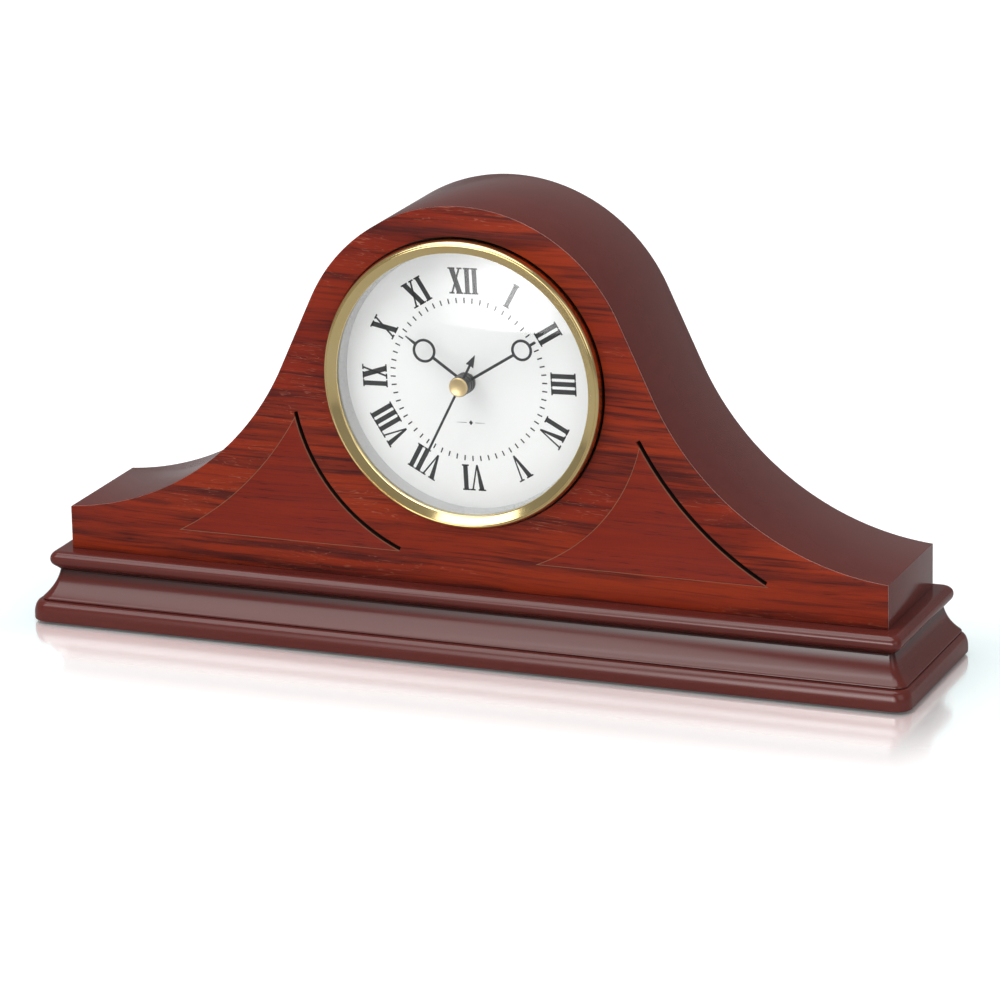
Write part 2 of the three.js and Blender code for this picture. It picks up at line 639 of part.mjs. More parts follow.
function addHousings(parent) {
  const frontPivots = [dayPlace, thirdPlace, rotorPlace, settingPlace].map((p) =>
    at(disc(ARBOR_RADIUS + RUNNING_GAP, floorInside - 1, floorInside + PIVOT_DEPTH, 12), p),
  );
  const front = cut(
    movementBox(CASE_SPLIT, CASE_FRONT),
    gearRoom(CASE_SPLIT - 1, floorInside),
    batteryRoom(CASE_SPLIT - 1, floorInside),
    disc(BUSH_RADIUS + GAP, floorInside - 1, CASE_FRONT + 1, 24),
    ...frontPivots,
  );
  addMesh(parent, "movement_front_housing", front, blackPlastic());

  const backPivots = [CENTRE, thirdPlace, stepPlace, rotorPlace].map((p) =>
    at(disc(ARBOR_RADIUS + RUNNING_GAP, backInside - PIVOT_DEPTH, backInside + 1, 12), p),
  );
  const rim = CASE_SPLIT - GAP;
  const back = cut(
    movementBox(CASE_BACK, rim),
    gearRoom(backInside, rim + 1),
    batteryRoom(CASE_BACK - 1, rim + 1),
    at(disc(KNOB.hole, CASE_BACK - 1, backInside + 1, 16), settingPlace),
    ...backPivots,
  );
  addMesh(parent, "movement_back_housing", back, blackPlastic());
}

function addCentreFixing(parent) {
  const inner = PIPE_RADIUS + RUNNING_GAP;
  const flangeFront = floorInside - GAP;
  const flangeBack = flangeFront - BUSH_FLANGE.thickness;
  const bush = [
    [inner, flangeBack],
    [BUSH_FLANGE.radius, flangeBack],
    [BUSH_FLANGE.radius, flangeFront],
    [BUSH_RADIUS, flangeFront],
    [BUSH_RADIUS, BUSH_FRONT],
    [inner, BUSH_FRONT],
    [inner, flangeBack],
  ];
  addMesh(parent, "centre_bush", turned(bush, 24), brass());
  const washerFront = strapBack - GAP;
  const washer = ring(BUSH_RADIUS + GAP, WASHER_RADIUS, CASE_FRONT + GAP, washerFront, 24);
  addMesh(parent, "rubber_washer", washer, blackPlastic());
  const nut = new THREE.Shape(circlePath(NUT.radius, 0, 0, 6).getPoints());
  nut.holes.push(circlePath(NUT.bore, 0, 0, 24));
  addMesh(parent, "dial_nut", extruded(nut, NUT.back, NUT.front), blackMetal());
}

function addWheels(parent) {
  const arbor = (back, front) => disc(ARBOR_RADIUS, back, front, 10);
  const pivotFront = floorInside + PIVOT_DEPTH - PIVOT_SHAKE;
  const pivotBack = backInside - PIVOT_DEPTH + PIVOT_SHAKE;
  const overlap = 0.1; // of a wheel with the pipe that carries it
  const place = (name, [x, y], geometry, material) =>
    addMesh(parent, name, geometry, material).position.set(x, y, 0);

  const pipeBore = CANNON_RADIUS + RUNNING_GAP;
  const pipeFront = HANDS.hour.level + COLLAR.ahead;
  const hourPipe = ring(pipeBore, PIPE_RADIUS, LEVELS.hourWheel[0], pipeFront, 20);
  const hourGear = gear(HOUR_WHEEL, ...LEVELS.hourWheel, pipeBore + overlap);
  place("hour_wheel", CENTRE, join(hourGear, hourPipe), whitePlastic());

  const dayWheel = join(
    gear(DAY_WHEEL, ...LEVELS.dayWheel),
    gear(DAY_PINION, ...LEVELS.dayPinion),
    arbor(LEVELS.dayWheel[0] - RUN_OUT, pivotFront),
  );
  place("day_wheel", dayPlace, dayWheel, whitePlastic());

  const cannonBore = ARBOR_RADIUS + RUNNING_GAP;
  const cannonFront = HANDS.minute.level + COLLAR.ahead;
  const centreWheel = join(
    gear(CENTRE_WHEEL, ...LEVELS.centreWheel, cannonBore + overlap),
    gear(CANNON_PINION, ...LEVELS.cannonPinion, cannonBore + overlap),
    ring(cannonBore, CANNON_RADIUS, LEVELS.centreWheel[0], cannonFront, 16),
  );
  place("centre_wheel", CENTRE, centreWheel, whitePlastic());

  const thirdWheel = join(
    gear(THIRD_WHEEL, ...LEVELS.thirdWheel),
    gear(THIRD_PINION, ...LEVELS.thirdPinion),
    arbor(pivotBack, pivotFront),
  );
  place("third_wheel", thirdPlace, thirdWheel, whitePlastic());

  const secondsWheel = join(
    gear(SECONDS_WHEEL, ...LEVELS.secondsWheel),
    gear(SECONDS_PINION, ...LEVELS.secondsPinion),
    arbor(pivotBack, CUP.boreFront - GAP),
  );
  place("seconds_wheel", CENTRE, secondsWheel, whitePlastic());

  const stepWheel = join(
    gear(STEP_WHEEL, ...LEVELS.stepWheel),
    gear(STEP_PINION, ...LEVELS.stepPinion),
    arbor(pivotBack, LEVELS.stepPinion[1] + RUN_OUT),
  );
  place("step_wheel", stepPlace, stepWheel, whitePlastic());

  const rotor = join(
    disc(ROTOR_RADIUS, ...LEVELS.rotorMagnet, 16),
    gear(ROTOR_PINION, ...LEVELS.rotorPinion),
    arbor(pivotBack, pivotFront),
  );
  place("rotor", rotorPlace, rotor, blackPlastic());

  const knobFront = CASE_BACK - GAP;
  const knob = join(
    gear(SETTING_PINION, ...LEVELS.settingPinion),
    disc(KNOB.shaft, knobFront - RUN_OUT, LEVELS.settingPinion[0] + RUN_OUT, 12),
    arbor(LEVELS.settingPinion[0], pivotFront),
    gear(KNOB, knobFront - KNOB.thickness, knobFront),
  );
  place("setting_knob", settingPlace, knob, whitePlastic());
}

// A round bar along X, from its end at the origin.
const barAlongX = (profile, steps) => turned(profile, steps).rotateY(Math.PI / 2);

function addMotorAndBoard(parent) {
  const { halfWidth, bottom, top, back, front } = STATOR;
  const plate = block([-halfWidth, bottom, back], [halfWidth, top, front]);
  const arms = [-1, 1].map((side) => {
    const middle = side * STATOR_ARM.x;
    const [left, right] = [middle - STATOR_ARM.halfWidth, middle + STATOR_ARM.halfWidth];
    return block([left, top - 1, back], [right, STATOR_ARM.top, front]);
  });
  const rotorHole = at(disc(STATOR.rotorHole, back - 1, front + 1, 20), rotorPlace);
  addMesh(parent, "stator", cut(join(plate, ...arms), rotorHole), steel());

  const core = block([-halfWidth, COIL_CORE.bottom, back], [halfWidth, COIL_CORE.top, front]);
  addMesh(parent, "coil_core", core, steel());
  const { inner, outer, halfLength } = COIL;
  const section = [[inner, -halfLength], [outer, -halfLength], [outer, halfLength], [inner, halfLength]];
  const winding = barAlongX([...section, section[0]], 16);
  winding.translate(0, (COIL_CORE.bottom + COIL_CORE.top) / 2, (back + front) / 2);
  addMesh(parent, "coil", winding, copper());

  const card = block([CARD.left, CARD.bottom, CARD.back], [CARD.right, CARD.top, CARD.front]);
  addMesh(parent, "circuit_board", card, paint(0x2f6b3c, 0.5));
  const chip = block([CHIP.left, CHIP.bottom, CHIP.back], [CHIP.right, CHIP.top, CHIP.front]);
  addMesh(parent, "clock_chip", chip, blackPlastic());
  const { radius, length } = CRYSTAL;
  const can = barAlongX([[0, 0], [radius, 0], [radius, length], [0, length]], 12);
  addMesh(parent, "quartz_crystal", can.translate(CRYSTAL.x, CRYSTAL.height, CRYSTAL.level), steel());
}

function addBattery(parent) {
  const { radius, length, nub, nubLength, edge } = BATTERY;
  const half = length / 2;
  const profile = [
    [0, -half],
    [radius - edge, -half],
    [radius, -half + edge],
    [radius, half - edge],
    [radius - edge, half],
    [nub, half],
    [nub, half + nubLength],
    [0, half + nubLength],
  ];
  const { x, height, level } = BATTERY_PLACE;
  const cell = barAlongX(profile, 24).translate(x, height, level);
  addMesh(parent, "battery", cell, paint(0x3c4c5e, 0.35, 0.4));
  const outer = CASE_INSIDE - GAP;
  const inner = outer - CONTACT.thickness;
  for (const [name, left, right] of [["negative", -outer, -inner], ["positive", inner, outer]]) {
    const leaf = block([left, CONTACT.bottom, CONTACT.back], [right, CONTACT.top, CONTACT.front]);
    addMesh(parent, "battery_contact_" + name, leaf, steel());
  }
}

// ---------------------------------------------------------------- hands

const bar = (halfWidth, from, to, level) =>
  block([-halfWidth, from, level], [halfWidth, to, level + HAND_THICKNESS]);

// A tapering point along +Y.
function point(halfWidth, from, to, level) {
  const shape = new THREE.Shape([
    new THREE.Vector2(-halfWidth, from),
    new THREE.Vector2(halfWidth, from),
    new THREE.Vector2(POINT_WIDTH / 2, to),
    new THREE.Vector2(-POINT_WIDTH / 2, to),
  ]);
  return extruded(shape, level, level + HAND_THICKNESS);
}

// A pierced-ring hand: a straight stem, an open ring and a short point beyond it.
function ringHand({ ring: centre, ringRadius, tip, level, hub }, bore) {
  const half = HAND_WIDTH / 2;
  const loop = ring(ringRadius - RING_BAND, ringRadius, level, level + HAND_THICKNESS, 24);
  loop.translate(0, centre, 0);
  const collar = ring(bore, hub, level - COLLAR.behind, level + COLLAR.ahead, 24);
  const stem = bar(half, hub - 0.5, centre - ringRadius + RING_BAND / 2, level);
  const nose = point(half, centre + ringRadius - RING_BAND / 2, tip, level);
  return join(loop, collar, stem, nose);
}

// A needle and its arrow-headed tail on one line, with a cup that covers the end of the arbor.
function secondHand() {
  const { tip, tail, headLength, headWidth, level, hub } = HANDS.second;
  const half = HAND_WIDTH * 0.43;
  const cup = disc(hub, CUP.back, CUP.front, 24);
  const bore = disc(ARBOR_RADIUS + PIVOT_SHAKE, CUP.back - 1, CUP.boreFront, 12);
  const needle = bar(half, headLength - tail - 0.3, tip, level);
  const head = point(headWidth / 2, tail - headLength, tail, level).rotateZ(Math.PI);
  return cut(join(cup, needle, head), bore);
}

function addHands(parent) {
  const turnedTo = (name, geometry, angle, material) => {
    addMesh(parent, name, geometry, material).rotation.z = -degrees(angle);
  };
  const hour = ringHand(HANDS.hour, PIPE_RADIUS + PIVOT_SHAKE);
  turnedTo("hour_hand", hour, HANDS.hour.angle, blackMetal());
  const minute = ringHand(HANDS.minute, CANNON_RADIUS + PIVOT_SHAKE);
  turnedTo("minute_hand", minute, HANDS.minute.angle, blackMetal());
  turnedTo("second_hand", secondHand(), HANDS.second.angle, blackMetal());
  const { radius, thickness, chamfer } = HUB_CAP;
  const back = CUP.front + GAP;
  const front = back + thickness;
  const edge = [[radius, back], [radius, front - chamfer.down], [radius - chamfer.across, front]];
  addMesh(parent, "second_hand_cap", turned([[0, back], ...edge, [0, front]], 32), brass());
}

// ---------------------------------------------------------------- assembly

const clock = new THREE.Group();
addBase(clock);

// In this frame x is the clock's own, y is height, and z runs forwards from the face of the veneer.
const face = new THREE.Group();
face.rotation.x = Math.PI / 2;
face.position.y = CASE_SETBACK - BODY_DEPTH / 2;
clock.add(face);
addVeneers(face);
addFrontBoard(face);
addShellAndBack(face);
addCornerBlocks(face);

const dial = new THREE.Group();
dial.position.y = DIAL_HEIGHT;
face.add(dial);
addBezel(dial);
addLens(dial);
addDialAndCup(dial);
addStrap(dial);
addHousings(dial);
addCentreFixing(dial);
addWheels(dial);
addMotorAndBoard(dial);
addBattery(dial);
addHands(dial);

export default clock;
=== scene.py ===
import math

import bmesh
import bpy
from mathutils import Matrix, Vector


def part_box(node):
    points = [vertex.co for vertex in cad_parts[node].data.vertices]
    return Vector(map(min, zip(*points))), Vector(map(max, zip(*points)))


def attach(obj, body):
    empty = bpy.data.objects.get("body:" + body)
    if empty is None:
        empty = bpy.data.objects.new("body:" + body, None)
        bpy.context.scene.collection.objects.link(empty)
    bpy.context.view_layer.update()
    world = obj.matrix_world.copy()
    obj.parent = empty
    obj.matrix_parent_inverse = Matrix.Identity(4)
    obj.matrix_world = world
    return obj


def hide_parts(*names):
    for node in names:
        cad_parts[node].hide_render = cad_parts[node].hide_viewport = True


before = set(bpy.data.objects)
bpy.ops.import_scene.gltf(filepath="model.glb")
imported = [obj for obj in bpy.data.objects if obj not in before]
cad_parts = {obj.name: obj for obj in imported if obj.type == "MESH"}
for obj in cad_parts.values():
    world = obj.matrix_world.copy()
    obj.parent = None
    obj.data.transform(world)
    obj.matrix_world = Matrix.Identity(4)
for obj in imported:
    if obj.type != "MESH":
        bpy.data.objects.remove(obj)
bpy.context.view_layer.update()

MM = 0.001

# ---------------------------------------------------------------- sizes, in millimetres

VENEER_LO, VENEER_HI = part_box("front_veneer")
BEZEL_LO, BEZEL_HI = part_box("bezel")
SHELL_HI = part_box("case_shell")[1]
MOULDING_LO, MOULDING_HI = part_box("base_moulding")
PLINTH_LO, PLINTH_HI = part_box("base_plinth")
DIAL_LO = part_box("dial_plate")[0]
LENS_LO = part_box("glass_lens")[0]

FACE_Y = VENEER_LO.y / MM               # face of the veneer
DIAL_Z = (BEZEL_LO.z + BEZEL_HI.z) / 2 / MM     # height of the dial's centre
HALF_WIDTH = VENEER_HI.x / MM
CASE_FOOT = VENEER_LO.z / MM - DIAL_Z   # heights from here on are from the dial's centre
CROWN_RADIUS = VENEER_HI.z / MM - DIAL_Z
BODY_DEPTH = (SHELL_HI.y / MM) - FACE_Y
FLANK_ANGLE = math.radians(65)          # of the straight flanks, down from level
FLANK_LENGTH = 35.5
SWEEP_RADIUS = 123.0                    # of the hollow sweeps at the case's two ends
VENEER = 1.0                            # thickness
SHELL_WALL = 4.5
OPENING_RADIUS = 63.2                   # for the dial, in the veneer
BACK_OPENING_RADIUS = 52.0
DIAL_ARC = (0.0, -2.5, 80.3)            # the right-hand inlay's edge along the dial: centre and radius
SWEEP_ARC = (202.7, 49.1, 143.2)        # and its edge along the sweep
SEAM_HEIGHT = -76.3                     # and its level foot
GROOVE_WIDTH = 2.0
LEFT_GROOVE = (math.radians(-168.2), math.radians(-113))        # its ends, round the dial arc's centre
RIGHT_GROOVE = (math.radians(208.3), math.radians(240.8))       # its ends, round the sweep arc's centre
THROAT_DROP = 8.6       # of the hollow under the base's bead, below the top of the base
DIAL_FACE = FACE_Y - DIAL_LO.y / MM     # level of the printed face, outwards from the veneer
BEZEL_HEIGHT = FACE_Y - BEZEL_LO.y / MM
BEZEL_RADIUS = (BEZEL_HI.x - BEZEL_LO.x) / 2 / MM


# ---------------------------------------------------------------- node helpers

def link_input(tree, socket, value):
    """Sets a socket to a number, vector or colour, or links it to another socket."""
    if isinstance(value, bpy.types.NodeSocket):
        tree.links.new(value, socket)
    elif socket.type == "RGBA":
        socket.default_value = (*value, 1.0)
    else:
        socket.default_value = value


def node(tree, kind, out=0, settings=None, **inputs):
    """Adds a shader node and gives one of its outputs.

    Inputs are named, with _ for a space, or in_0, in_1 by number.
    """
    made = tree.nodes.new(kind)
    for key, value in (settings or {}).items():
        setattr(made, key, value)
    for key, value in inputs.items():
        name = int(key[3:]) if key.startswith("in_") else key.replace("_", " ")
        link_input(tree, made.inputs[name], value)
    return made.outputs[out]


def maths(tree, operation, a, b=0.0):
    return node(tree, "ShaderNodeMath", settings={"operation": operation}, in_0=a, in_1=b)


def ramp(tree, value, stops):
    """A colour ramp through (position, colour) stops."""
    made = tree.nodes.new("ShaderNodeValToRGB")
    elements = made.color_ramp.elements
    while len(elements) < len(stops):
        elements.new(0.5)
    for element, (position, colour) in zip(elements, stops):
        element.position = position
        element.color = (*colour, 1.0)
    tree.links.new(value, made.inputs[0])
    return made.outputs[0]


def grey_ramp(tree, value, low, high, dark=0.0, light=1.0):
    return ramp(tree, value, [(low, (dark,) * 3), (high, (light,) * 3)])


def mix_colour(tree, share, a, b, blend="MIX"):
    made = tree.nodes.new("ShaderNodeMix")
    made.data_type = "RGBA"
    made.blend_type = blend
    for index, value in ((0, share), (6, a), (7, b)):
        link_input(tree, made.inputs[index], value)
    return made.outputs[2]


def noise(tree, vector, detail, roughness=0.5, distortion=0.0):
    return node(
        tree, "ShaderNodeTexNoise", Vector=vector, Scale=1.0, Detail=detail, Roughness=roughness,
        Distortion=distortion,
    )


def mapped(tree, scale=(1, 1, 1), location=(0, 0, 0), rotation=(0, 0, 0), source=None):
    source = source or node(tree, "ShaderNodeTexCoord", out=3)
    return node(tree, "ShaderNodeMapping", Vector=source, Location=location, Rotation=rotation, Scale=scale)


def bump(tree, height, strength, distance):
    return node(tree, "ShaderNodeBump", Height=height, Strength=strength, Distance=distance)


def new_material(name):
    material = bpy.data.materials.new(name)
    material.use_nodes = True
    material.node_tree.nodes.clear()
    return material, material.node_tree


def finish_material(tree, **inputs):
    """A Principled shader as the material's surface. Names are the shader's own, with _ for a space."""
    shader = node(tree, "ShaderNodeBsdfPrincipled", **inputs)
    output = tree.nodes.new("ShaderNodeOutputMaterial")
    tree.links.new(shader, output.inputs["Surface"])


# ---------------------------------------------------------------- materials

RED_LIGHT = (0.270, 0.028, 0.007)
RED_MIDDLE = (0.195, 0.016, 0.006)
RED_DARK = (0.070, 0.011, 0.009)
INLAY_LIGHT = (0.210, 0.019, 0.007)
INLAY_MIDDLE = (0.180, 0.015, 0.006)
FLECK = (0.42, 0.15, 0.09)
GRAIN_WAVER = 0.009             # how far the grain strays up and down, in metres
LACQUER = (0.100, 0.016, 0.012)
LACQUER_GRAIN = (0.076, 0.011, 0.009)
LACQUER_MOTTLE = (0.100, 0.022, 0.017)
# near-black painted shade for the hollow under the base's bead, where shadow falls
PAINTED_THROAT_SHADE = (0.016, 0.004, 0.003)
PAINTED_SHADE_REACH = 0.0042            # how far above and below the hollow the painted shade fades out, in metres


def wood_veneer(name, light, middle, dark, bands, contrast, flecks=0.0, tilt=0.0, seed=0.0):
    """Stained, open-pored veneer under a thin satin finish, with its grain along X.

    Bands are dark streaks a metre, and flecks is how strongly pale lines of open grain show.
    """
    material, tree = new_material(name)
    place = mapped(tree, location=(seed, 0, seed * 0.7), rotation=(0, tilt, 0))
    drift = noise(tree, mapped(tree, scale=(7.0, 7.0, 20.0), source=place), 2.0)
    parts = node(tree, "ShaderNodeSeparateXYZ", Vector=place).node.outputs
    lift = maths(tree, "MULTIPLY", maths(tree, "SUBTRACT", drift, 0.5), GRAIN_WAVER)
    waved = maths(tree, "ADD", parts[2], lift)
    grain = node(tree, "ShaderNodeCombineXYZ", X=parts[0], Y=parts[1], Z=waved)

    def layer(along, across, detail=2.0, roughness=0.55, distortion=0.0, shift=(0, 0, 0)):
        """Noise drawn out along the grain."""
        stretched = mapped(tree, scale=(along, along, across), location=shift, source=grain)
        return noise(tree, stretched, detail, roughness, distortion)

    broad = layer(5.0, bands * 0.14, shift=(4, 0, 1))
    streaks = layer(13.0, bands, 3.0, 0.55, 0.2)
    lines = layer(20.0, bands * 4.5, 2.0, 0.6, shift=(1, 2, 5))
    fibres = layer(70.0, 3200.0, 2.0, 0.7)
    pores = layer(110.0, 2300.0, 1.0, shift=(3, 1, 2))

    in_streak = grey_ramp(tree, streaks, 0.46, 0.66)
    colour = mix_colour(tree, grey_ramp(tree, broad, 0.36, 0.62), middle, light)
    colour = mix_colour(tree, maths(tree, "MULTIPLY", in_streak, 0.78 * contrast), colour, dark)
    near_streak = grey_ramp(tree, streaks, 0.35, 0.60, 0.25, 0.85)
    line_share = maths(tree, "MULTIPLY", grey_ramp(tree, lines, 0.50, 0.66), near_streak)
    line_colour = [c * 0.75 for c in dark]
    colour = mix_colour(tree, maths(tree, "MULTIPLY", line_share, contrast), colour, line_colour)
    colour = mix_colour(tree, grey_ramp(tree, fibres, 0.35, 0.75, 0.0, 0.25), colour, dark)
    porous = grey_ramp(tree, streaks, 0.40, 0.58, 0.2, 0.9)
    pore_share = maths(tree, "MULTIPLY", grey_ramp(tree, pores, 0.62, 0.69), porous)
    pore_colour = [c * 0.4 for c in dark]
    colour = mix_colour(tree, maths(tree, "MULTIPLY", pore_share, 0.7), colour, pore_colour)
    if flecks:
        contour = layer(42.0, 420.0, 2.0, 0.6, 0.6, shift=(7, 3, 9))
        distance = maths(tree, "ABSOLUTE", maths(tree, "SUBTRACT", contour, 0.5))
        thin = grey_ramp(tree, distance, 0.004, 0.016, flecks, 0.0)
        where = grey_ramp(tree, layer(11.0, 60.0, 1.0, shift=(2, 8, 4)), 0.50, 0.60)
        broken = grey_ramp(tree, fibres, 0.45, 0.55)
        shown = maths(tree, "MULTIPLY", maths(tree, "MULTIPLY", thin, where), broken)
        colour = mix_colour(tree, shown, colour, FLECK)

    height = maths(tree, "SUBTRACT", maths(tree, "MULTIPLY", fibres, 0.25), pore_share)
    roughness = maths(tree, "ADD", maths(tree, "MULTIPLY", lines, 0.14), 0.32)
    finish_material(
        tree, Base_Color=colour, Roughness=roughness, Normal=bump(tree, height, 0.35, 0.00006),
        Specular_IOR_Level=0.12,
    )
    return material


def dark_lacquer(name, painted_shade_height=None):
    """Deep red-brown sprayed lacquer over wood, with a faint grain and orange peel.

    Near-black painted shade can lie in a hollow at one height, where shadow falls.
    """
    material, tree = new_material(name)
    grain = noise(tree, mapped(tree, scale=(9.0, 60.0, 220.0)), 4.0, 0.6)
    mottle = noise(tree, mapped(tree, scale=(14, 14, 14)), 3.0)
    peel = noise(tree, mapped(tree, scale=(700, 700, 700)), 2.0)
    colour = mix_colour(tree, grey_ramp(tree, grain, 0.35, 0.70, 0.0, 0.5), LACQUER, LACQUER_GRAIN)
    colour = mix_colour(tree, grey_ramp(tree, mottle, 0.40, 0.70, 0.0, 0.25), colour, LACQUER_MOTTLE)
    # painted shade: darkens the lacquer in a band round one height, the hollow under the bead
    if painted_shade_height is not None:
        height = node(tree, "ShaderNodeSeparateXYZ", out=2, Vector=node(tree, "ShaderNodeTexCoord", out=3))
        away = maths(tree, "ABSOLUTE", maths(tree, "SUBTRACT", height, painted_shade_height))
        uneven = maths(tree, "ADD", away, maths(tree, "MULTIPLY", mottle, 0.0008))
        share = grey_ramp(tree, maths(tree, "DIVIDE", uneven, PAINTED_SHADE_REACH), 0.25, 1.0, 0.85, 0.0)
        colour = mix_colour(tree, share, colour, PAINTED_THROAT_SHADE)
    roughness = maths(tree, "ADD", maths(tree, "MULTIPLY", mottle, 0.08), 0.13)
    finish_material(
        tree, Base_Color=colour, Roughness=roughness, Normal=bump(tree, peel, 0.10, 0.00002),
        Specular_IOR_Level=0.45,
    )
    return material


def lacquered_brass(name, gloss_roughness, dark, light):
    """Pale lacquered brass with fine polishing lines."""
    material, tree = new_material(name)
    cloud = noise(tree, mapped(tree, scale=(60, 60, 60)), 4.0)
    lines = noise(tree, mapped(tree, scale=(900, 900, 60)), 2.0)
    colour = mix_colour(tree, cloud, dark, light)
    roughness = maths(tree, "ADD", maths(tree, "MULTIPLY", lines, 0.07), gloss_roughness)
    finish_material(
        tree, Base_Color=colour, Metallic=1.0, Roughness=roughness, Normal=bump(tree, lines, 0.03, 0.00001),
    )
    return material


def plastic(name, colour, roughness, variation=0.12, grain_scale=1500.0, depth=0.00002):
    """Moulded plastic, paint or board with a fine texture and slight unevenness."""
    material, tree = new_material(name)
    cloud = noise(tree, mapped(tree, scale=(35, 35, 35)), 3.0)
    grain = noise(tree, mapped(tree, scale=(grain_scale,) * 3), 2.0)
    darker = [c * (1 - variation) for c in colour]
    base = mix_colour(tree, cloud, colour, darker)
    rough = maths(tree, "ADD", maths(tree, "MULTIPLY", grain, 0.12), roughness - 0.06)
    finish_material(tree, Base_Color=base, Roughness=rough, Normal=bump(tree, grain, 0.15, depth))
    return material


def brushed_metal(name, colour):
    """Drawn or rolled metal with lines along X."""
    material, tree = new_material(name)
    lines = noise(tree, mapped(tree, scale=(60, 2400, 2400)), 2.0)
    cloud = noise(tree, mapped(tree, scale=(50, 50, 50)), 3.0)
    base = mix_colour(tree, cloud, colour, [c * 0.85 for c in colour])
    rough = maths(tree, "ADD", maths(tree, "MULTIPLY", lines, 0.18), 0.22)
    finish_material(
        tree, Base_Color=base, Metallic=1.0, Roughness=rough, Normal=bump(tree, lines, 0.12, 0.00001),
    )
    return material


def felt(name):
    material, tree = new_material(name)
    fuzz = noise(tree, mapped(tree, scale=(1400, 1400, 1400)), 4.0, 0.7)
    colour = mix_colour(tree, fuzz, (0.020, 0.016, 0.014), (0.060, 0.050, 0.045))
    finish_material(
        tree, Base_Color=colour, Roughness=0.95, Sheen_Weight=0.4, Normal=bump(tree, fuzz, 0.8, 0.0002),
    )
    return material


def clear_glass(name):
    """Thin clear glass: what is behind shows straight through, and the outer faces mirror the room."""
    material, tree = new_material(name)
    smears = noise(tree, mapped(tree, scale=(25, 25, 25)), 3.0)
    roughness = grey_ramp(tree, smears, 0.4, 0.8, 0.04, 0.07)
    through = node(tree, "ShaderNodeBsdfTransparent", Color=(0.985, 0.99, 0.99))
    mirror = node(tree, "ShaderNodeBsdfAnisotropic", Color=(1, 1, 1), Roughness=roughness)
    outside = maths(tree, "SUBTRACT", 1.0, node(tree, "ShaderNodeNewGeometry", out=6))
    share = maths(tree, "MULTIPLY", node(tree, "ShaderNodeFresnel", IOR=1.6), outside)
    mixed = node(tree, "ShaderNodeMixShader", in_0=share, in_1=through, in_2=mirror)
    output = tree.nodes.new("ShaderNodeOutputMaterial")
    tree.links.new(mixed, output.inputs["Surface"])
    return material


MATERIALS = {
    "veneer": wood_veneer("red_veneer", RED_LIGHT, RED_MIDDLE, RED_DARK, bands=195.0, contrast=1.12,
                          flecks=0.35, tilt=math.radians(-1)),
    "inlay": wood_veneer("red_inlay", INLAY_LIGHT, INLAY_MIDDLE, RED_DARK, bands=520.0, contrast=0.5,
                         seed=3.1),
    "seam": plastic("seam_filler", (0.25, 0.080, 0.032), 0.6, 0.5, 400.0),
    # a pale strip that paints the highlight along the veneer's edge
    "edge": plastic("painted_edge_highlight", (0.62, 0.36, 0.30), 0.5, 0.3, 400.0),
    "lacquer": dark_lacquer("dark_lacquer"),
    # the base moulding's lacquer, with painted shade in the hollow under its bead
    "lacquer_with_painted_shade": dark_lacquer("lacquer_with_painted_shade", VENEER_LO.z - THROAT_DROP * MM),
    "stain": plastic("dark_stain", (0.020, 0.009, 0.007), 0.7, grain_scale=800.0),
    "brass": lacquered_brass("polished_brass", 0.09, (0.83, 0.63, 0.28), (0.90, 0.73, 0.38)),
    "satin_brass": lacquered_brass("satin_brass", 0.36, (0.86, 0.64, 0.33), (0.92, 0.72, 0.40)),
    "glass": clear_glass("clear_glass"),
    "rehaut": plastic("rehaut_grey", (0.55, 0.55, 0.55), 0.28, 0.05),
    "dial": plastic("dial_white", (0.95, 0.95, 0.945), 0.55, 0.02, 2500.0, 0.000005),
    "ink": plastic("dial_ink", (0.018, 0.018, 0.020), 0.5, 0.2),
    "hands": plastic("hand_black", (0.030, 0.031, 0.034), 0.35, 0.2, 1200.0, 0.000005),
    "steel": brushed_metal("steel", (0.62, 0.63, 0.64)),
    "copper": brushed_metal("copper", (0.72, 0.30, 0.14)),
    "black_plastic": plastic("black_plastic", (0.020, 0.020, 0.022), 0.5),
    "white_plastic": plastic("white_plastic", (0.78, 0.77, 0.72), 0.4),
    "board": plastic("raw_board", (0.42, 0.28, 0.15), 0.85, 0.25, 600.0, 0.0001),
    "circuit": plastic("circuit_green", (0.03, 0.16, 0.06), 0.35),
    "battery": plastic("battery_wrap", (0.03, 0.06, 0.11), 0.25, 0.15),
    "rubber": plastic("rubber", (0.02, 0.02, 0.02), 0.7),
    "felt": felt("felt"),
}

# What each CAD node that stays in view is finished in.
NODE_FINISH = {
    "stain": ["front_board"],
    "board": ["corner_block_left", "corner_block_right"],
    "steel": ["base_screw_1", "base_screw_2", "base_screw_3", "base_screw_4", "clamp_strap",
              "strap_screw_left", "strap_screw_right", "stator", "coil_core", "quartz_crystal",
              "battery_contact_negative", "battery_contact_positive"],
    "felt": ["foot_pad_1", "foot_pad_2", "foot_pad_3", "foot_pad_4"],
    "black_plastic": ["dial_cup", "movement_front_housing", "movement_back_housing", "rotor", "clock_chip"],
    "brass": ["centre_bush", "dial_nut"],
    "rubber": ["rubber_washer"],
    "white_plastic": ["hour_wheel", "day_wheel", "centre_wheel", "third_wheel", "seconds_wheel", "step_wheel",
                      "setting_knob"],
    "copper": ["coil"],
    "circuit": ["circuit_board"],
    "battery": ["battery"],
}


def finish_nodes():
    for finish, names in NODE_FINISH.items():
        for name in names:
            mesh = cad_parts[name].data
            mesh.materials.clear()
            mesh.materials.append(MATERIALS[finish])


# ---------------------------------------------------------------- mesh helpers

def to_world(x, up, out):
    """A place seen from the front: across and up from the dial's centre, and out from the veneer's face."""
    return Vector((x * MM, (FACE_Y - out) * MM, (DIAL_Z + up) * MM))


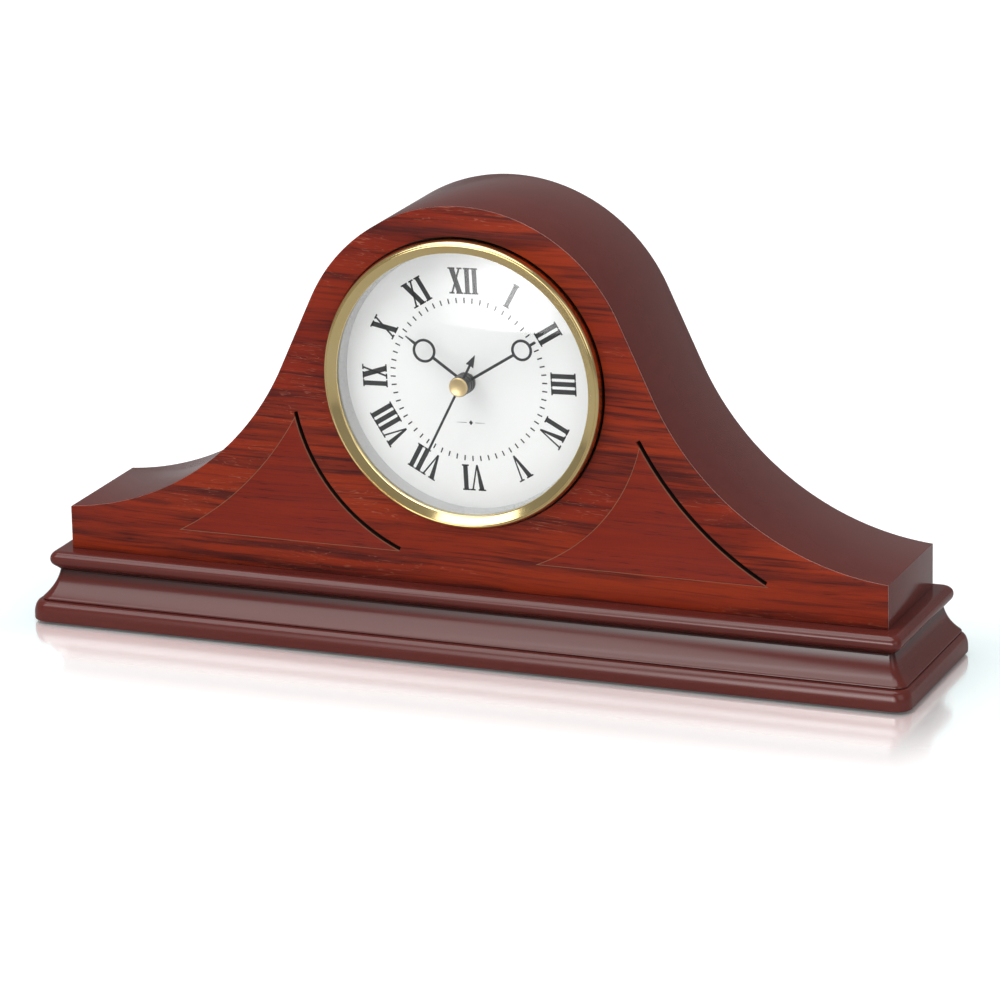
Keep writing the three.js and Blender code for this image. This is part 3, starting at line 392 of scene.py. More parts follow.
def piece(name, mesh, material, body, replaced=(), angle=35):
    """An object of a mesh, smooth except at edges sharper than the angle, that rides on a body."""
    cleaned = bmesh.new()
    cleaned.from_mesh(mesh)
    bmesh.ops.remove_doubles(cleaned, verts=cleaned.verts, dist=1e-7)
    bmesh.ops.recalc_face_normals(cleaned, faces=cleaned.faces)
    cleaned.to_mesh(mesh)
    cleaned.free()
    mesh.materials.clear()
    mesh.materials.append(MATERIALS[material])
    mesh.shade_smooth()
    mesh.set_sharp_from_angle(angle=math.radians(angle))
    made = bpy.data.objects.new(name, mesh)
    bpy.context.scene.collection.objects.link(made)
    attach(made, body)
    if replaced:
        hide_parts(*replaced)


def mesh_of(name, vertices, faces):
    mesh = bpy.data.meshes.new(name)
    mesh.from_pydata([tuple(v) for v in vertices], [], faces)
    mesh.update()
    return mesh


def joined(name, meshes):
    """One mesh of several."""
    merged = bmesh.new()
    for mesh in meshes:
        merged.from_mesh(mesh)
    result = bpy.data.meshes.new(name)
    merged.to_mesh(result)
    merged.free()
    return result


def lathe_mesh(name, profile, steps):
    """A turned solid from (radius, out) points. It is closed on the axis, or back to its first point."""
    on_axis = profile[0][0] == 0
    rows = []
    vertices = []
    for radius, out in profile:
        if radius == 0:
            rows.append([len(vertices)] * steps)
            vertices.append(to_world(0, 0, out))
            continue
        rows.append(list(range(len(vertices), len(vertices) + steps)))
        for i in range(steps):
            a = 2 * math.pi * i / steps
            vertices.append(to_world(radius * math.sin(a), radius * math.cos(a), out))
    if not on_axis:
        rows.append(rows[0])
    faces = []
    for low, high in zip(rows, rows[1:]):
        for i in range(steps):
            j = (i + 1) % steps
            corners = [low[i], low[j], high[j], high[i]]
            unique = list(dict.fromkeys(corners))
            if len(unique) > 2:
                faces.append(unique)
    return mesh_of(name, vertices, faces)


def arc(x, y, radius, start, end, steps):
    """Points along an arc, both ends included."""
    angles = [start + (end - start) * i / steps for i in range(steps + 1)]
    return [(x + radius * math.cos(a), y + radius * math.sin(a)) for a in angles]


def plate_mesh(name, loops, back, front, edge, place=to_world):
    """A flat sheet with rounded edges, from its outlines and its holes' outlines as seen from the front."""
    curve = bpy.data.curves.new(name, "CURVE")
    curve.dimensions = "2D"
    curve.fill_mode = "BOTH"
    thickness = front - back
    curve.bevel_depth = edge
    curve.bevel_resolution = 2
    curve.offset = -edge
    curve.extrude = thickness / 2 - edge
    for loop in loops:
        spline = curve.splines.new("POLY")
        spline.points.add(len(loop) - 1)
        for point, (x, y) in zip(spline.points, loop):
            point.co = (x, y, 0, 1)
        spline.use_cyclic_u = True
    carrier = bpy.data.objects.new(name, curve)
    bpy.context.scene.collection.objects.link(carrier)
    depsgraph = bpy.context.evaluated_depsgraph_get()
    mesh = bpy.data.meshes.new_from_object(carrier.evaluated_get(depsgraph))
    bpy.data.objects.remove(carrier)
    bpy.data.curves.remove(curve)
    middle = (front + back) / 2
    for vertex in mesh.vertices:
        x, y, z = vertex.co
        vertex.co = place(x, y, middle + z)
    return mesh


CLOSEST = 0.02          # an outline's points are further apart than this


def without_repeats(points):
    """An outline with one point for each cluster of points that all but coincide."""
    kept = []
    for point in points:
        if not kept or math.dist(point, kept[-1]) > CLOSEST:
            kept.append(point)
    if math.dist(kept[0], kept[-1]) <= CLOSEST:
        kept.pop()
    return kept


# ---------------------------------------------------------------- case outline

FLANK_TOP = (CROWN_RADIUS * math.sin(FLANK_ANGLE), CROWN_RADIUS * math.cos(FLANK_ANGLE))
SWEEP_CENTRE = (
    FLANK_TOP[0] + FLANK_LENGTH * math.cos(FLANK_ANGLE) + SWEEP_RADIUS * math.sin(FLANK_ANGLE),
    FLANK_TOP[1] - FLANK_LENGTH * math.sin(FLANK_ANGLE) + SWEEP_RADIUS * math.cos(FLANK_ANGLE),
)


def case_outline(inset=0.0):
    """Level foot, upright ends, hollow sweeps, straight flanks and a round crown, moved inwards by inset."""
    half = HALF_WIDTH - inset
    radius = SWEEP_RADIUS + inset
    end_angle = math.asin((SWEEP_CENTRE[0] - half) / radius)
    down, up = -math.pi / 2, math.pi / 2
    points = [(-half, CASE_FOOT), (half, CASE_FOOT)]
    points += arc(*SWEEP_CENTRE, radius, down - end_angle, down - FLANK_ANGLE, 72)
    points += arc(0, 0, CROWN_RADIUS - inset, up - FLANK_ANGLE, up + FLANK_ANGLE, 120)
    points += arc(-SWEEP_CENTRE[0], SWEEP_CENTRE[1], radius, down + FLANK_ANGLE, down + end_angle, 72)
    return without_repeats(points)


def circle(radius, x=0.0, y=0.0, steps=192):
    return arc(x, y, radius, 0, 2 * math.pi * (steps - 1) / steps, steps - 1)


def angle_on(curve, point):
    return math.atan2(point[1] - curve[1], point[0] - curve[0])


def lower_crossing(p, q):
    """Where two circles cross, at the lower of the two places."""
    dx, dy = q[0] - p[0], q[1] - p[1]
    apart = math.hypot(dx, dy)
    along = (p[2] ** 2 - q[2] ** 2 + apart ** 2) / (2 * apart)
    aside = math.sqrt(p[2] ** 2 - along ** 2)
    return p[0] + (along * dx + aside * dy) / apart, p[1] + (along * dy - aside * dx) / apart


def inlay_corners(grow):
    """The two arcs, grown, and the apex, inner and outer corners of the right-hand inlay."""
    dial = (DIAL_ARC[0], DIAL_ARC[1], DIAL_ARC[2] - grow)
    sweep = (SWEEP_ARC[0], SWEEP_ARC[1], SWEEP_ARC[2] - grow)
    seam = SEAM_HEIGHT - grow
    apex = lower_crossing(dial, sweep)
    inner = (dial[0] + math.sqrt(dial[2] ** 2 - (seam - dial[1]) ** 2), seam)
    outer = (sweep[0] - math.sqrt(sweep[2] ** 2 - (seam - sweep[1]) ** 2), seam)
    return dial, sweep, apex, inner, outer


def full_turn(angle):
    return angle % (2 * math.pi)


def inlay_outline(grow, groove=None):
    """The right-hand inlay. With a groove along one of its arcs, the outline takes the groove in too."""
    dial, sweep, apex, inner, outer = inlay_corners(grow)
    dial_start, dial_end = angle_on(dial, inner), angle_on(dial, apex)
    sweep_start, sweep_end = full_turn(angle_on(sweep, apex)), full_turn(angle_on(sweep, outer))
    steps = 48
    if groove == "dial":
        # the left-hand groove mirrored to the right-hand side
        low, high = -math.pi - LEFT_GROOVE[1], -math.pi - LEFT_GROOVE[0]
        inside = dial[2] + grow - GROOVE_WIDTH
        points = arc(*dial, dial_start, low, 12)
        points += arc(dial[0], dial[1], inside, low, high, steps)
        points += arc(*dial, high, dial_end, 4)
    else:
        points = arc(*dial, dial_start, dial_end, steps)
    if groove == "sweep":
        low, high = RIGHT_GROOVE
        inside = sweep[2] + grow - GROOVE_WIDTH
        points += arc(*sweep, sweep_start, low, 4)
        points += arc(sweep[0], sweep[1], inside, low, high, steps)
        points += arc(*sweep, high, sweep_end, 4)
    else:
        points += arc(*sweep, sweep_start, sweep_end, steps)
    return without_repeats(points)


def mirrored(points):
    return [(-x, y) for x, y in reversed(points)]


# ---------------------------------------------------------------- case and base

SEAM_GAP = 0.24         # filled hairline between veneers
FILLER = 0.32           # reach of the filler past the inlay's edge
FILLER_LEVELS = (-0.6, -0.05)   # its back and front
INLAY_LEVEL = -0.01     # face of the inlays, a hair behind the veneer's
CLOSE = 0.03            # air left where pieces are glued
PAINTED_HIGHLIGHT_LEVELS = (-1.35, -0.75)      # back and front of a pale strip round the case behind the veneer, a painted highlight along the veneer's edge
PAINTED_HIGHLIGHT_REACH = 1.0        # how far it goes in


def make_veneers():
    left_hole = mirrored(inlay_outline(SEAM_GAP / 2, "dial"))
    right_hole = inlay_outline(SEAM_GAP / 2, "sweep")
    loops = [case_outline(), circle(OPENING_RADIUS), left_hole, right_hole]
    sheet = plate_mesh("veneer", loops, -VENEER, 0, edge=0.16)
    piece("veneer_front", sheet, "veneer", "case", ["front_veneer"])
    inlay = inlay_outline(-SEAM_GAP / 2)
    bed = inlay_outline(FILLER - SEAM_GAP / 2)
    for side, turned in (("left", mirrored), ("right", list)):
        sheet = plate_mesh("inlay_" + side, [turned(inlay)], -VENEER, INLAY_LEVEL, edge=0.05)
        piece("inlay_" + side, sheet, "inlay", "case", ["veneer_inlay_" + side])
        filler = plate_mesh("filler_" + side, [turned(bed)], *FILLER_LEVELS, edge=0.02)
        piece("seam_filler_" + side, filler, "seam", "case")
    # a pale strip in the groove between veneer and case top: painted highlight along the veneer's edge
    joint = plate_mesh("joint", [case_outline(CLOSE), case_outline(PAINTED_HIGHLIGHT_REACH)], *PAINTED_HIGHLIGHT_LEVELS, edge=0.02)
    piece("veneer_edge_highlight", joint, "edge", "case")


def make_shell():
    """The bent top and ends, from just behind the veneer to the back, open underneath."""
    outer = case_outline()
    inner = case_outline(SHELL_WALL)
    loop = outer[1:] + [outer[0]] + [inner[0]] + list(reversed(inner[1:]))
    shell = plate_mesh("shell", [loop], -BODY_DEPTH, -VENEER - CLOSE, edge=0.25)
    piece("case_top", shell, "lacquer", "case", ["case_shell"])
    back_lo, back_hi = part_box("back_board")
    levels = (FACE_Y - back_hi.y / MM, FACE_Y - back_lo.y / MM)
    loops = [case_outline(SHELL_WALL + 0.05), circle(BACK_OPENING_RADIUS)]
    board = plate_mesh("back", loops, *levels, edge=0.5)
    piece("back_panel", board, "lacquer", "case", ["back_board"])


CORNER_STEPS = 10
CORNER_RADIUS = 1.2     # of a moulding's corners, where it doesn't stand out from the case


def rounded_rectangle(half_x, half_y, radius):
    points = []
    for sx, sy, quarter in ((1, 1, 0), (-1, 1, 1), (-1, -1, 2), (1, -1, 3)):
        start = quarter * math.pi / 2
        x, y = sx * (half_x - radius), sy * (half_y - radius)
        points += arc(x, y, radius, start, start + math.pi / 2, CORNER_STEPS)
    return points


def moulding_mesh(name, profile, middle_y, flare):
    """A moulding round all four sides of the case, from (overhang, height) points from the top down.

    Its corners grow rounder by the flare as it stands further out.
    """
    vertices, faces = [], []
    for overhang, height in profile:
        radius = CORNER_RADIUS + max(0, overhang) * flare
        loop = rounded_rectangle(HALF_WIDTH + overhang, BODY_DEPTH / 2 + overhang, radius)
        vertices += [(x * MM, (y + middle_y) * MM, height * MM) for x, y in loop]
    count = len(loop)
    for row in range(len(profile) - 1):
        for i in range(count):
            j = (i + 1) % count
            faces.append([row * count + i, (row + 1) * count + i, (row + 1) * count + j, row * count + j])
    faces.append(list(range(count)))
    last = (len(profile) - 1) * count
    faces.append([last + i for i in reversed(range(count))])
    return mesh_of(name, vertices, faces)


def bezier(p, q, r, steps):
    """Points along a curve from p to r that leans towards q."""
    points = []
    for i in range(steps + 1):
        t = i / steps
        points.append(tuple((1 - t) ** 2 * a + 2 * t * (1 - t) * b + t * t * c for a, b, c in zip(p, q, r)))
    return points


BEAD_OVER = 8.0         # how far the bead, the throat under it and the cove's foot stand out from the case
THROAT_OVER = 4.4
COVE_FOOT = 10.9
BEAD_RADIUS = 3.6
UNDERCUT = 8.0          # how far the top of the base reaches in under the case
PLINTH_SHOULDER = (2.6, 6.0)    # of the plinth's rounded top edge: across and down
PLINTH_EDGE = 0.8       # radius of its lower edge


def make_base():
    foot = MOULDING_LO.z / MM
    rise = VENEER_LO.z / MM - CLOSE          # the glued joint is closed up to the case
    bead_x = BEAD_OVER - BEAD_RADIUS
    throat = (THROAT_OVER, VENEER_LO.z / MM - THROAT_DROP)
    profile = [(-UNDERCUT, rise), (bead_x, rise - 0.06)]
    profile += arc(bead_x, rise - BEAD_RADIUS, BEAD_RADIUS, math.radians(80), math.radians(-55), 20)
    profile += bezier(profile[-1], (throat[0] + 0.3, throat[1] + 0.5), throat, 5)[1:]
    profile += bezier(throat, (throat[0] + 1.2, throat[1] - 6.5), (COVE_FOOT, foot + 0.5), 18)[1:]
    profile += [(COVE_FOOT + 0.1, foot - 0.1)]
    middle_y = (MOULDING_LO.y + MOULDING_HI.y) / 2 / MM
    cornice = moulding_mesh("moulding", profile, middle_y, flare=0.3)
    # painted shade darkens the hollow under the bead
    piece("base_cornice", cornice, "lacquer_with_painted_shade", "case", ["base_moulding"], angle=50)

    over = PLINTH_HI.x / MM - HALF_WIDTH
    top, bottom = PLINTH_HI.z / MM, PLINTH_LO.z / MM
    across, down = PLINTH_SHOULDER
    profile = [(COVE_FOOT - 2.0, top - 0.1), (over - across - 0.6, top - 0.1)]
    shoulder = arc(0, 0, 1, math.pi / 2, 0, 16)
    profile += [(over - across + across * c, top - down + down * s) for c, s in shoulder]
    profile += [(over, bottom + 1.4)]
    profile += arc(over - PLINTH_EDGE, bottom + PLINTH_EDGE, PLINTH_EDGE, 0, -math.pi / 2, 6)
    plinth = moulding_mesh("plinth", profile, 0.0, flare=0.4)
    piece("base_foot", plinth, "lacquer", "case", ["base_plinth"], angle=50)


# ---------------------------------------------------------------- dial set

def make_bezel():
    """A ring that rises to a crest near its rim and slopes down to a small rounded lip round the glass."""
    height = BEZEL_HEIGHT
    outer = BEZEL_RADIUS
    crest = outer - 1.9
    inner = 58.6            # of the part that sits in the opening
    back = -3.0
    rim = 1.4
    lip, lip_level, lip_radius = 57.1, 2.8, 0.3
    profile = [(inner, back), (outer, back), (outer, rim)]
    profile += bezier((outer, rim), (outer, height - 0.5), (crest + 0.35, height - 0.1), 12)[1:]
    profile += [(crest + 0.2, height - 0.25), (crest + 0.05, height - 0.1)]
    profile += bezier((crest - 0.2, height), (58.9, height - 0.9), (lip, lip_level + 0.25), 12)
    profile += arc(lip, lip_level, lip_radius, math.radians(120), math.radians(180), 4)
    profile += [(lip - lip_radius, 2.1), (inner, 2.1)]
    piece("bezel_ring", lathe_mesh("bezel", profile, 256), "brass", "case", ["bezel"])


def make_lens():
    """A domed sheet of glass that is steepest at its edge."""
    radius = 58.3
    sag = 8.0
    thickness = 1.4
    peak = FACE_Y - LENS_LO.y / MM
    rings = 24
    front = [(radius * i / rings, peak - sag * (i / rings) ** 2) for i in range(rings + 1)]
    back = [(r, level - thickness) for r, level in front]
    mesh = lathe_mesh("lens", back + list(reversed(front)), 160)
    piece("domed_lens", mesh, "glass", "case", ["glass_lens"], angle=60)


def make_dial():
    """The pale ring that stands on the dial's edge, and the white plate with a hole for the hands' pipes."""
    face = DIAL_FACE
    ring_foot, ring_outer, lip = 56.0, 58.3, 0.42
    wall = [(ring_foot, face + 0.05), (ring_outer, face + 0.05), (ring_outer, -0.5), (57.6, 0.02)]
    wall += arc(57.2, -0.4, lip, math.radians(80), math.radians(180), 6)
    piece("rehaut", lathe_mesh("rehaut", wall, 256), "rehaut", "case", ["rehaut_ring"])
    hole, outer, thickness, chamfer = 2.7, 58.2, 0.8, 0.1
    plate = [(hole, face - thickness), (outer, face - thickness), (outer, face), (hole + chamfer, face),
             (hole, face - chamfer)]
    piece("dial_face", lathe_mesh("dial", plate, 192), "dial", "case", ["dial_plate"])


PRINT_TURN = math.radians(-2.05)        # the printed dial sits a little askew in its case
PRINT_ACROSS = -0.4
INK = (-0.02, 0.03)             # back and front of the ink, from the dial's face
NUMERAL_FOOT = 37.1             # its distance from the dial's centre
NUMERAL_HEIGHT = 11.3
TICK = (0.29, 33.2, 35.5)       # half width, inner and outer end
THICK = 2.05                    # widths of a numeral's strokes
THIN = 0.75
SERIF = 0.65                    # height
# Each figure's width, its strokes as (x at foot, x at head, width at foot, width at head), and its serifs as
# (x, whether at the head, width).
FIGURES = {
    "I": (3.35, [(1.675, 1.675, THICK, THICK)], [(1.675, False, 3.15), (1.675, True, 3.15)]),
    "V": (7.4, [(3.8, 1.9, 0.8, THICK + 0.2), (3.85, 6.2, 0.6, THIN)], [(1.9, True, 3.4), (6.2, True, 2.4)]),
    "X": (7.0, [(5.2, 1.75, THICK + 0.3, THICK + 0.3), (1.6, 5.4, THIN + 0.1, THIN + 0.1)],
          [(1.6, False, 2.3), (5.2, False, 3.2), (1.75, True, 3.2), (5.4, True, 2.3)]),
}
NUMERALS = ("XII", "I", "II", "III", "IV", "V", "VI", "VII", "VIII", "IX", "X", "XI")
ORNAMENT_UP = -18.7             # height of the small ornament's middle
DIAMOND = (0.9, 1.1)            # half width and half height
RULE = ((2.0, 0.12), (6.4, 0.04))       # distance from the middle and half height, at the two ends of a rule


def stroke_shape(foot_x, head_x, foot_width, head_width):
    foot, head = foot_width / 2, head_width / 2
    top = NUMERAL_HEIGHT
    return [(foot_x - foot, 0.0), (foot_x + foot, 0.0), (head_x + head, top), (head_x - head, top)]


def serif_shape(x, at_head, width):
    y = NUMERAL_HEIGHT - SERIF if at_head else 0.0
    return [(x - width / 2, y), (x + width / 2, y), (x + width / 2, y + SERIF), (x - width / 2, y + SERIF)]


def numeral_shapes(text):
    """The strokes of a whole numeral, centred on x = 0, with its foot at y = 0."""
    shapes, x = [], 0.0
    for figure in text:
        width, strokes, serifs = FIGURES[figure]
        drawn = [stroke_shape(*stroke) for stroke in strokes] + [serif_shape(*serif) for serif in serifs]
        shapes += [[(px + x, py) for px, py in shape] for shape in drawn]
        x += width
    return [[(px - x / 2, py) for px, py in shape] for shape in shapes]


def print_on_dial(shapes, turn):
    """Thin raised ink from shapes drawn with up pointing outwards, turned clockwise from twelve."""
    vertices, faces = [], []
    c, s = math.cos(turn + PRINT_TURN), math.sin(turn + PRINT_TURN)
    for shape in shapes:
        first = len(vertices)
        count = len(shape)
        turned = [(x * c + y * s + PRINT_ACROSS, y * c - x * s) for x, y in shape]
        for level in INK:
            vertices += [to_world(x, y, DIAL_FACE + level) for x, y in turned]
        faces.append([first + i for i in range(count)])
        faces.append([first + count + i for i in reversed(range(count))])
        for i in range(count):
            j = (i + 1) % count
            faces.append([first + i, first + count + i, first + count + j, first + j])
    return mesh_of("ink", vertices, faces)


def make_print():
    """The numerals, the minute track, and a diamond between two thin rules."""
    prints = []
    for hour, text in enumerate(NUMERALS):
        shapes = [[(x, y + NUMERAL_FOOT) for x, y in shape] for shape in numeral_shapes(text)]
        prints.append(print_on_dial(shapes, hour * math.pi / 6))
    half, inner, outer = TICK
    tick = [(-half, inner), (half, inner), (half, outer), (-half, outer)]
    for minute in range(60):
        prints.append(print_on_dial([tick], minute * math.pi / 30))
    wide, tall = DIAMOND
    up = ORNAMENT_UP
    ornament = [[(0, up + tall), (wide, up), (0, up - tall), (-wide, up)]]
    (near, near_half), (far, far_half) = RULE
    for side in (-1, 1):
        ornament.append([(side * near, up - near_half), (side * far, up - far_half),
                         (side * far, up + far_half), (side * near, up + near_half)])
    prints.append(print_on_dial(ornament, 0))
    piece("dial_print", joined("print", prints), "ink", "case")


# ---------------------------------------------------------------- hands

HAND_THICKNESS = 0.5
HAND_EDGE = 0.1         # radius of a hand's edges
STEM_HALF = 0.6         # half width of a ring hand's stem
RING_BAND = 1.1
COLLAR_BACK = 0.5       # the hub of a ring hand, behind and in front of the back of its blade
COLLAR_FRONT = 1.3


def turned_place(angle):
    """A to_world for a hand that is drawn pointing up and then turned clockwise."""
    c, s = math.cos(angle), math.sin(angle)
    return lambda x, up, out: to_world(x * c + up * s, up * c - x * s, out)


def ring_hand(name, body, angle, ring, ring_radius, tip, level, hub, bore, nose):
    """A stem, an open ring and a point, on a collar.

    Nose is the point's half widths, where it leaves the ring and at its tip.
    """
    place = turned_place(math.radians(angle))
    root, end = nose
    join_angle = math.asin(STEM_HALF / ring_radius)
    nose_angle = math.asin(root / ring_radius)
    outline = [(-STEM_HALF, hub - 1.0), (STEM_HALF, hub - 1.0)]
    outline += arc(0, ring, ring_radius, -math.pi / 2 + join_angle, math.pi / 2 - nose_angle, 40)
    outline += [(end, tip - 0.2), (end * 0.5, tip), (-end * 0.5, tip), (-end, tip - 0.2)]
    outline += arc(0, ring, ring_radius, math.pi / 2 + nose_angle, 3 * math.pi / 2 - join_angle, 40)
    loops = [outline, circle(ring_radius - RING_BAND, 0, ring, 72)]
    blade = plate_mesh(name, loops, level, level + HAND_THICKNESS, HAND_EDGE, place)
    back, front = level - COLLAR_BACK, level + COLLAR_FRONT
    collar = [(bore, back), (hub - 0.2, back), (hub, back + 0.2), (hub, front - 0.25), (hub - 0.25, front),
              (bore, front)]
    mesh = joined(name, [blade, lathe_mesh(name, collar, 96)])
    piece(name, mesh, "hands", body, [name.replace("_blade", "_hand")])


def make_second_hand():
    """A needle with an arrow for a tail, on a cup over the ends of the pipes, and a dished brass cap."""
    place = turned_place(math.radians(206.9))
    level = 4.2
    half = 0.52
    tip = 36.0
    tail = 15.7
    arrow, arrow_half = 5.1, 1.85       # length and half width of the tail's arrow head
    outline = [(-half, arrow - tail), (-arrow_half, arrow - tail + 0.25), (-0.12, -tail), (0.12, -tail),
               (arrow_half, arrow - tail + 0.25), (half, arrow - tail), (half, tip - 0.3), (0.35, tip),
               (-0.35, tip), (-half, tip - 0.3)]
    loops = [list(reversed(outline))]
    needle = plate_mesh("needle", loops, level, level + HAND_THICKNESS, HAND_EDGE, place)
    hub = 4.3
    back, step, front = 1.8, 4.0, 5.6   # levels of the cup's back, of the groove round it, and of its front
    cup = [(0, back), (hub - 0.25, back), (hub, back + 0.2), (hub, step - 0.2), (hub - 0.15, step - 0.1),
           (hub - 0.15, step + 0.1), (hub, step + 0.2), (hub, front - 0.15), (hub - 0.15, front), (0, front)]
    mesh = joined("second_blade", [needle, lathe_mesh("cup", cup, 96)])
    piece("second_blade", mesh, "hands", "seconds_train", ["second_hand"])
    rim, radius, thickness = 0.25, 4.1, 0.8
    cap_back, cap_front = front + 0.02, front + thickness
    dish = [(radius - 0.8, cap_front), (radius - 1.0, cap_front - 0.12), (0, cap_front - 0.12)]
    cap = [(0, cap_back), (radius, cap_back)]
    cap += arc(radius - rim, cap_front - rim, rim, 0, math.pi / 2, 5) + dish
    piece("hub_cap", lathe_mesh("cap", cap, 96), "satin_brass", "seconds_train", ["second_hand_cap"])


def make_hands():
    ring_hand("hour_blade", "hour_train", angle=304.3, ring=22.1, ring_radius=5.15, tip=32.3, level=-1.9,
              hub=4.5, bore=2.6, nose=(0.65, 0.2))
    ring_hand("minute_blade", "minute_train", angle=57.8, ring=31.45, ring_radius=4.65, tip=38.8, level=0.2,
              hub=4.4, bore=1.8, nose=(0.6, 0.5))
    make_second_hand()


# ---------------------------------------------------------------- stage, light and camera

FLOOR_WHITE = (0.88, 0.88, 0.88)
FLOOR_MIRRORED = (0.34, 0.34, 0.34)     # the floor as other surfaces mirror it, darker as in a shaded room
FLOOR_GLOW = 0.28               # lifts the far floor to the white of the background
MIRROR_GAIN = (2.65, 3.1, 3.1)  # the floor's mirror image is lifted, so that the dim dome shows white in it
MIRROR_SHARE = 0.72             # at the clock's foot
MIRROR_REACH = 0.11             # where it ends, in metres from the clock


def make_floor():
    """A white sheet that mirrors the clock's foot, and less so further away."""
    mesh = mesh_of("floor", [(-8, -6, 0), (8, -6, 0), (8, 12, 0), (-8, 12, 0)], [[0, 1, 2, 3]])
    floor = bpy.data.objects.new("floor", mesh)
    bpy.context.scene.collection.objects.link(floor)
    material, tree = new_material("floor_white")
    rays = tree.nodes.new("ShaderNodeLightPath").outputs
    place = node(tree, "ShaderNodeSeparateXYZ", Vector=node(tree, "ShaderNodeTexCoord", out=3)).node.outputs
    reach = []
    for axis, high in ((0, PLINTH_HI.x), (1, PLINTH_HI.y)):
        past = maths(tree, "SUBTRACT", maths(tree, "ABSOLUTE", place[axis]), high)
        reach.append(maths(tree, "POWER", maths(tree, "MAXIMUM", past, 0.0), 2.0))
    distance = maths(tree, "SQRT", maths(tree, "ADD", *reach))
    mirror_share = grey_ramp(tree, distance, 0.0, MIRROR_REACH, MIRROR_SHARE, 0.0)
    plain = node(tree, "ShaderNodeBsdfDiffuse", Color=FLOOR_WHITE)
    mirror = node(tree, "ShaderNodeBsdfAnisotropic", Color=MIRROR_GAIN, Roughness=0.14)
    lit = node(tree, "ShaderNodeMixShader", in_0=mirror_share, in_1=plain, in_2=mirror)
    glow_strength = maths(tree, "SUBTRACT", FLOOR_GLOW, maths(tree, "MULTIPLY", mirror_share, FLOOR_GLOW))
    glow = node(tree, "ShaderNodeEmission", Color=(1, 1, 1), Strength=glow_strength)
    to_camera = node(tree, "ShaderNodeAddShader", in_0=lit, in_1=glow)
    to_mirrors = node(tree, "ShaderNodeBsdfDiffuse", Color=FLOOR_MIRRORED)
    seen = node(tree, "ShaderNodeMixShader", in_0=rays["Is Camera Ray"], in_1=plain, in_2=to_camera)
    seen = node(tree, "ShaderNodeMixShader", in_0=rays["Is Glossy Ray"], in_1=seen, in_2=to_mirrors)
    tree.links.new(seen, tree.nodes.new("ShaderNodeOutputMaterial").inputs["Surface"])
    mesh.materials.append(material)


LIT_PLACE = (0, 0, 0.09)        # middle of the clock, in metres
DIFFUSE_SKY = (0.62, 0.62, 0.62)
DOME = (0.26, 0.27)             # strength of what mirrors see of the room, in front and behind
WINDOW_DIRECTION = (-0.13, -0.98, 0.15)         # of the soft window that the glass mirrors
WINDOW_STRENGTH = 7.5


def area_light(name, place, size, power):
    """A rectangular lamp that faces the clock and that the camera doesn't see."""
    data = bpy.data.lights.new(name, "AREA")
    data.shape = "RECTANGLE"
    data.size, data.size_y = size
    data.energy = power
    lamp = bpy.data.objects.new(name, data)
    bpy.context.scene.collection.objects.link(lamp)
    lamp.location = place
    lamp.rotation_mode = "QUATERNION"
    lamp.rotation_quaternion = (Vector(LIT_PLACE) - Vector(place)).to_track_quat("-Z", "Y")
    lamp.visible_camera = False


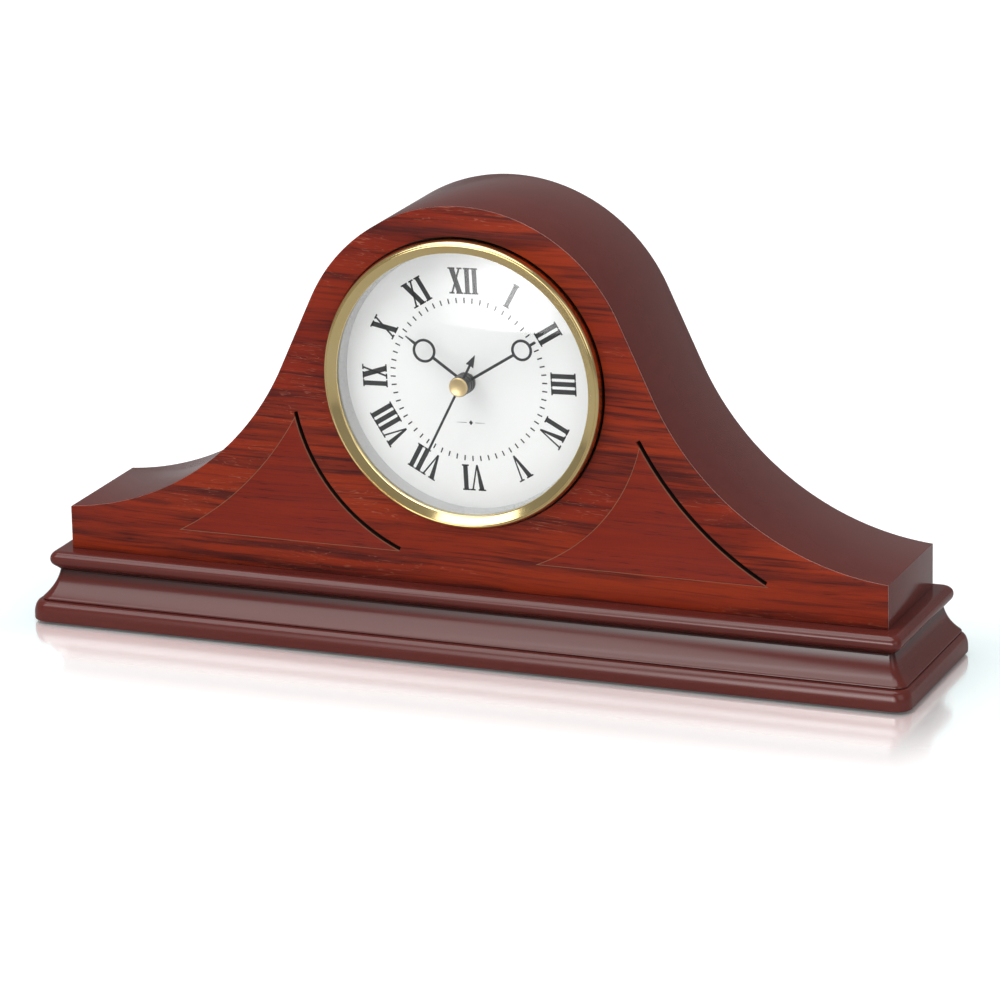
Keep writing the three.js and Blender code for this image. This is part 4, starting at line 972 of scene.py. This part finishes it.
def make_lights():
    """White to the camera, an even sky to diffuse surfaces, and a dim room with a soft window to mirrors."""
    world = bpy.data.worlds.new("studio")
    bpy.context.scene.world = world
    world.use_nodes = True
    tree = world.node_tree
    tree.nodes.clear()
    direction = node(tree, "ShaderNodeTexCoord", out=0)
    backwards = node(tree, "ShaderNodeSeparateXYZ", out=1, Vector=direction)
    behind = maths(tree, "ADD", maths(tree, "MULTIPLY", backwards, 0.5), 0.5)
    dome = grey_ramp(tree, behind, 0.3, 0.9, *DOME)
    from_window = node(
        tree, "ShaderNodeVectorMath", out=1, settings={"operation": "DISTANCE"}, in_0=direction,
        in_1=WINDOW_DIRECTION,
    )
    window = ramp(tree, from_window, [(0.08, (1, 1, 1)), (0.22, (0.35, 0.35, 0.35)), (0.38, (0, 0, 0))])
    window_light = mix_colour(tree, 1.0, window, (WINDOW_STRENGTH,) * 3, "MULTIPLY")
    room = mix_colour(tree, 1.0, dome, window_light, "ADD")
    rays = tree.nodes.new("ShaderNodeLightPath").outputs
    strength = mix_colour(tree, rays["Is Glossy Ray"], DIFFUSE_SKY, room)
    strength = mix_colour(tree, rays["Is Camera Ray"], strength, (1.0, 1.0, 1.0))
    background = node(tree, "ShaderNodeBackground", Color=strength)
    output = tree.nodes.new("ShaderNodeOutputWorld")
    tree.links.new(background, output.inputs["Surface"])
    area_light("key", place=(-0.9, -1.3, 1.5), size=(1.2, 1.2), power=13)
    area_light("fill", place=(1.3, -1.0, 0.8), size=(1.0, 1.0), power=3)
    area_light("top", place=(-0.25, -0.25, 1.6), size=(1.6, 1.2), power=16)
    view = bpy.context.scene.view_settings
    view.view_transform = "Standard"
    view.look = "None"


CAMERA_AZIMUTH = math.radians(21.997)           # to the clock's right of straight in front
CAMERA_ELEVATION = math.radians(16.72)
CAMERA_ROLL = math.radians(-1.2145)
CAMERA_DISTANCE = 2290.4
CAMERA_LENS = 193.09
CAMERA_AIM = Vector((2.68, FACE_Y + BODY_DEPTH / 2, 60.74))


def make_camera():
    """The photo's view: the camera looks at its aim from a distance, and is then rolled."""
    level = math.cos(CAMERA_ELEVATION)
    back = Vector((
        math.sin(CAMERA_AZIMUTH) * level, -math.cos(CAMERA_AZIMUTH) * level, math.sin(CAMERA_ELEVATION),
    ))
    right = (-back).cross(Vector((0, 0, 1))).normalized()
    up = right.cross(-back)
    turned_right = right * math.cos(CAMERA_ROLL) + up * math.sin(CAMERA_ROLL)
    turned_up = up * math.cos(CAMERA_ROLL) - right * math.sin(CAMERA_ROLL)
    data = bpy.data.cameras.new("camera")
    data.sensor_width = 36.0
    data.lens = CAMERA_LENS
    data.clip_start, data.clip_end = 0.1, 50
    camera = bpy.data.objects.new("camera", data)
    bpy.context.scene.collection.objects.link(camera)
    axes = Matrix((turned_right, turned_up, back)).transposed().to_4x4()
    camera.matrix_world = Matrix.Translation((CAMERA_AIM + back * CAMERA_DISTANCE) * MM) @ axes
    bpy.context.scene.camera = camera


make_camera()
make_floor()
make_lights()
finish_nodes()
make_veneers()
make_shell()
make_base()
make_bezel()
make_lens()
make_dial()
make_print()
make_hands()
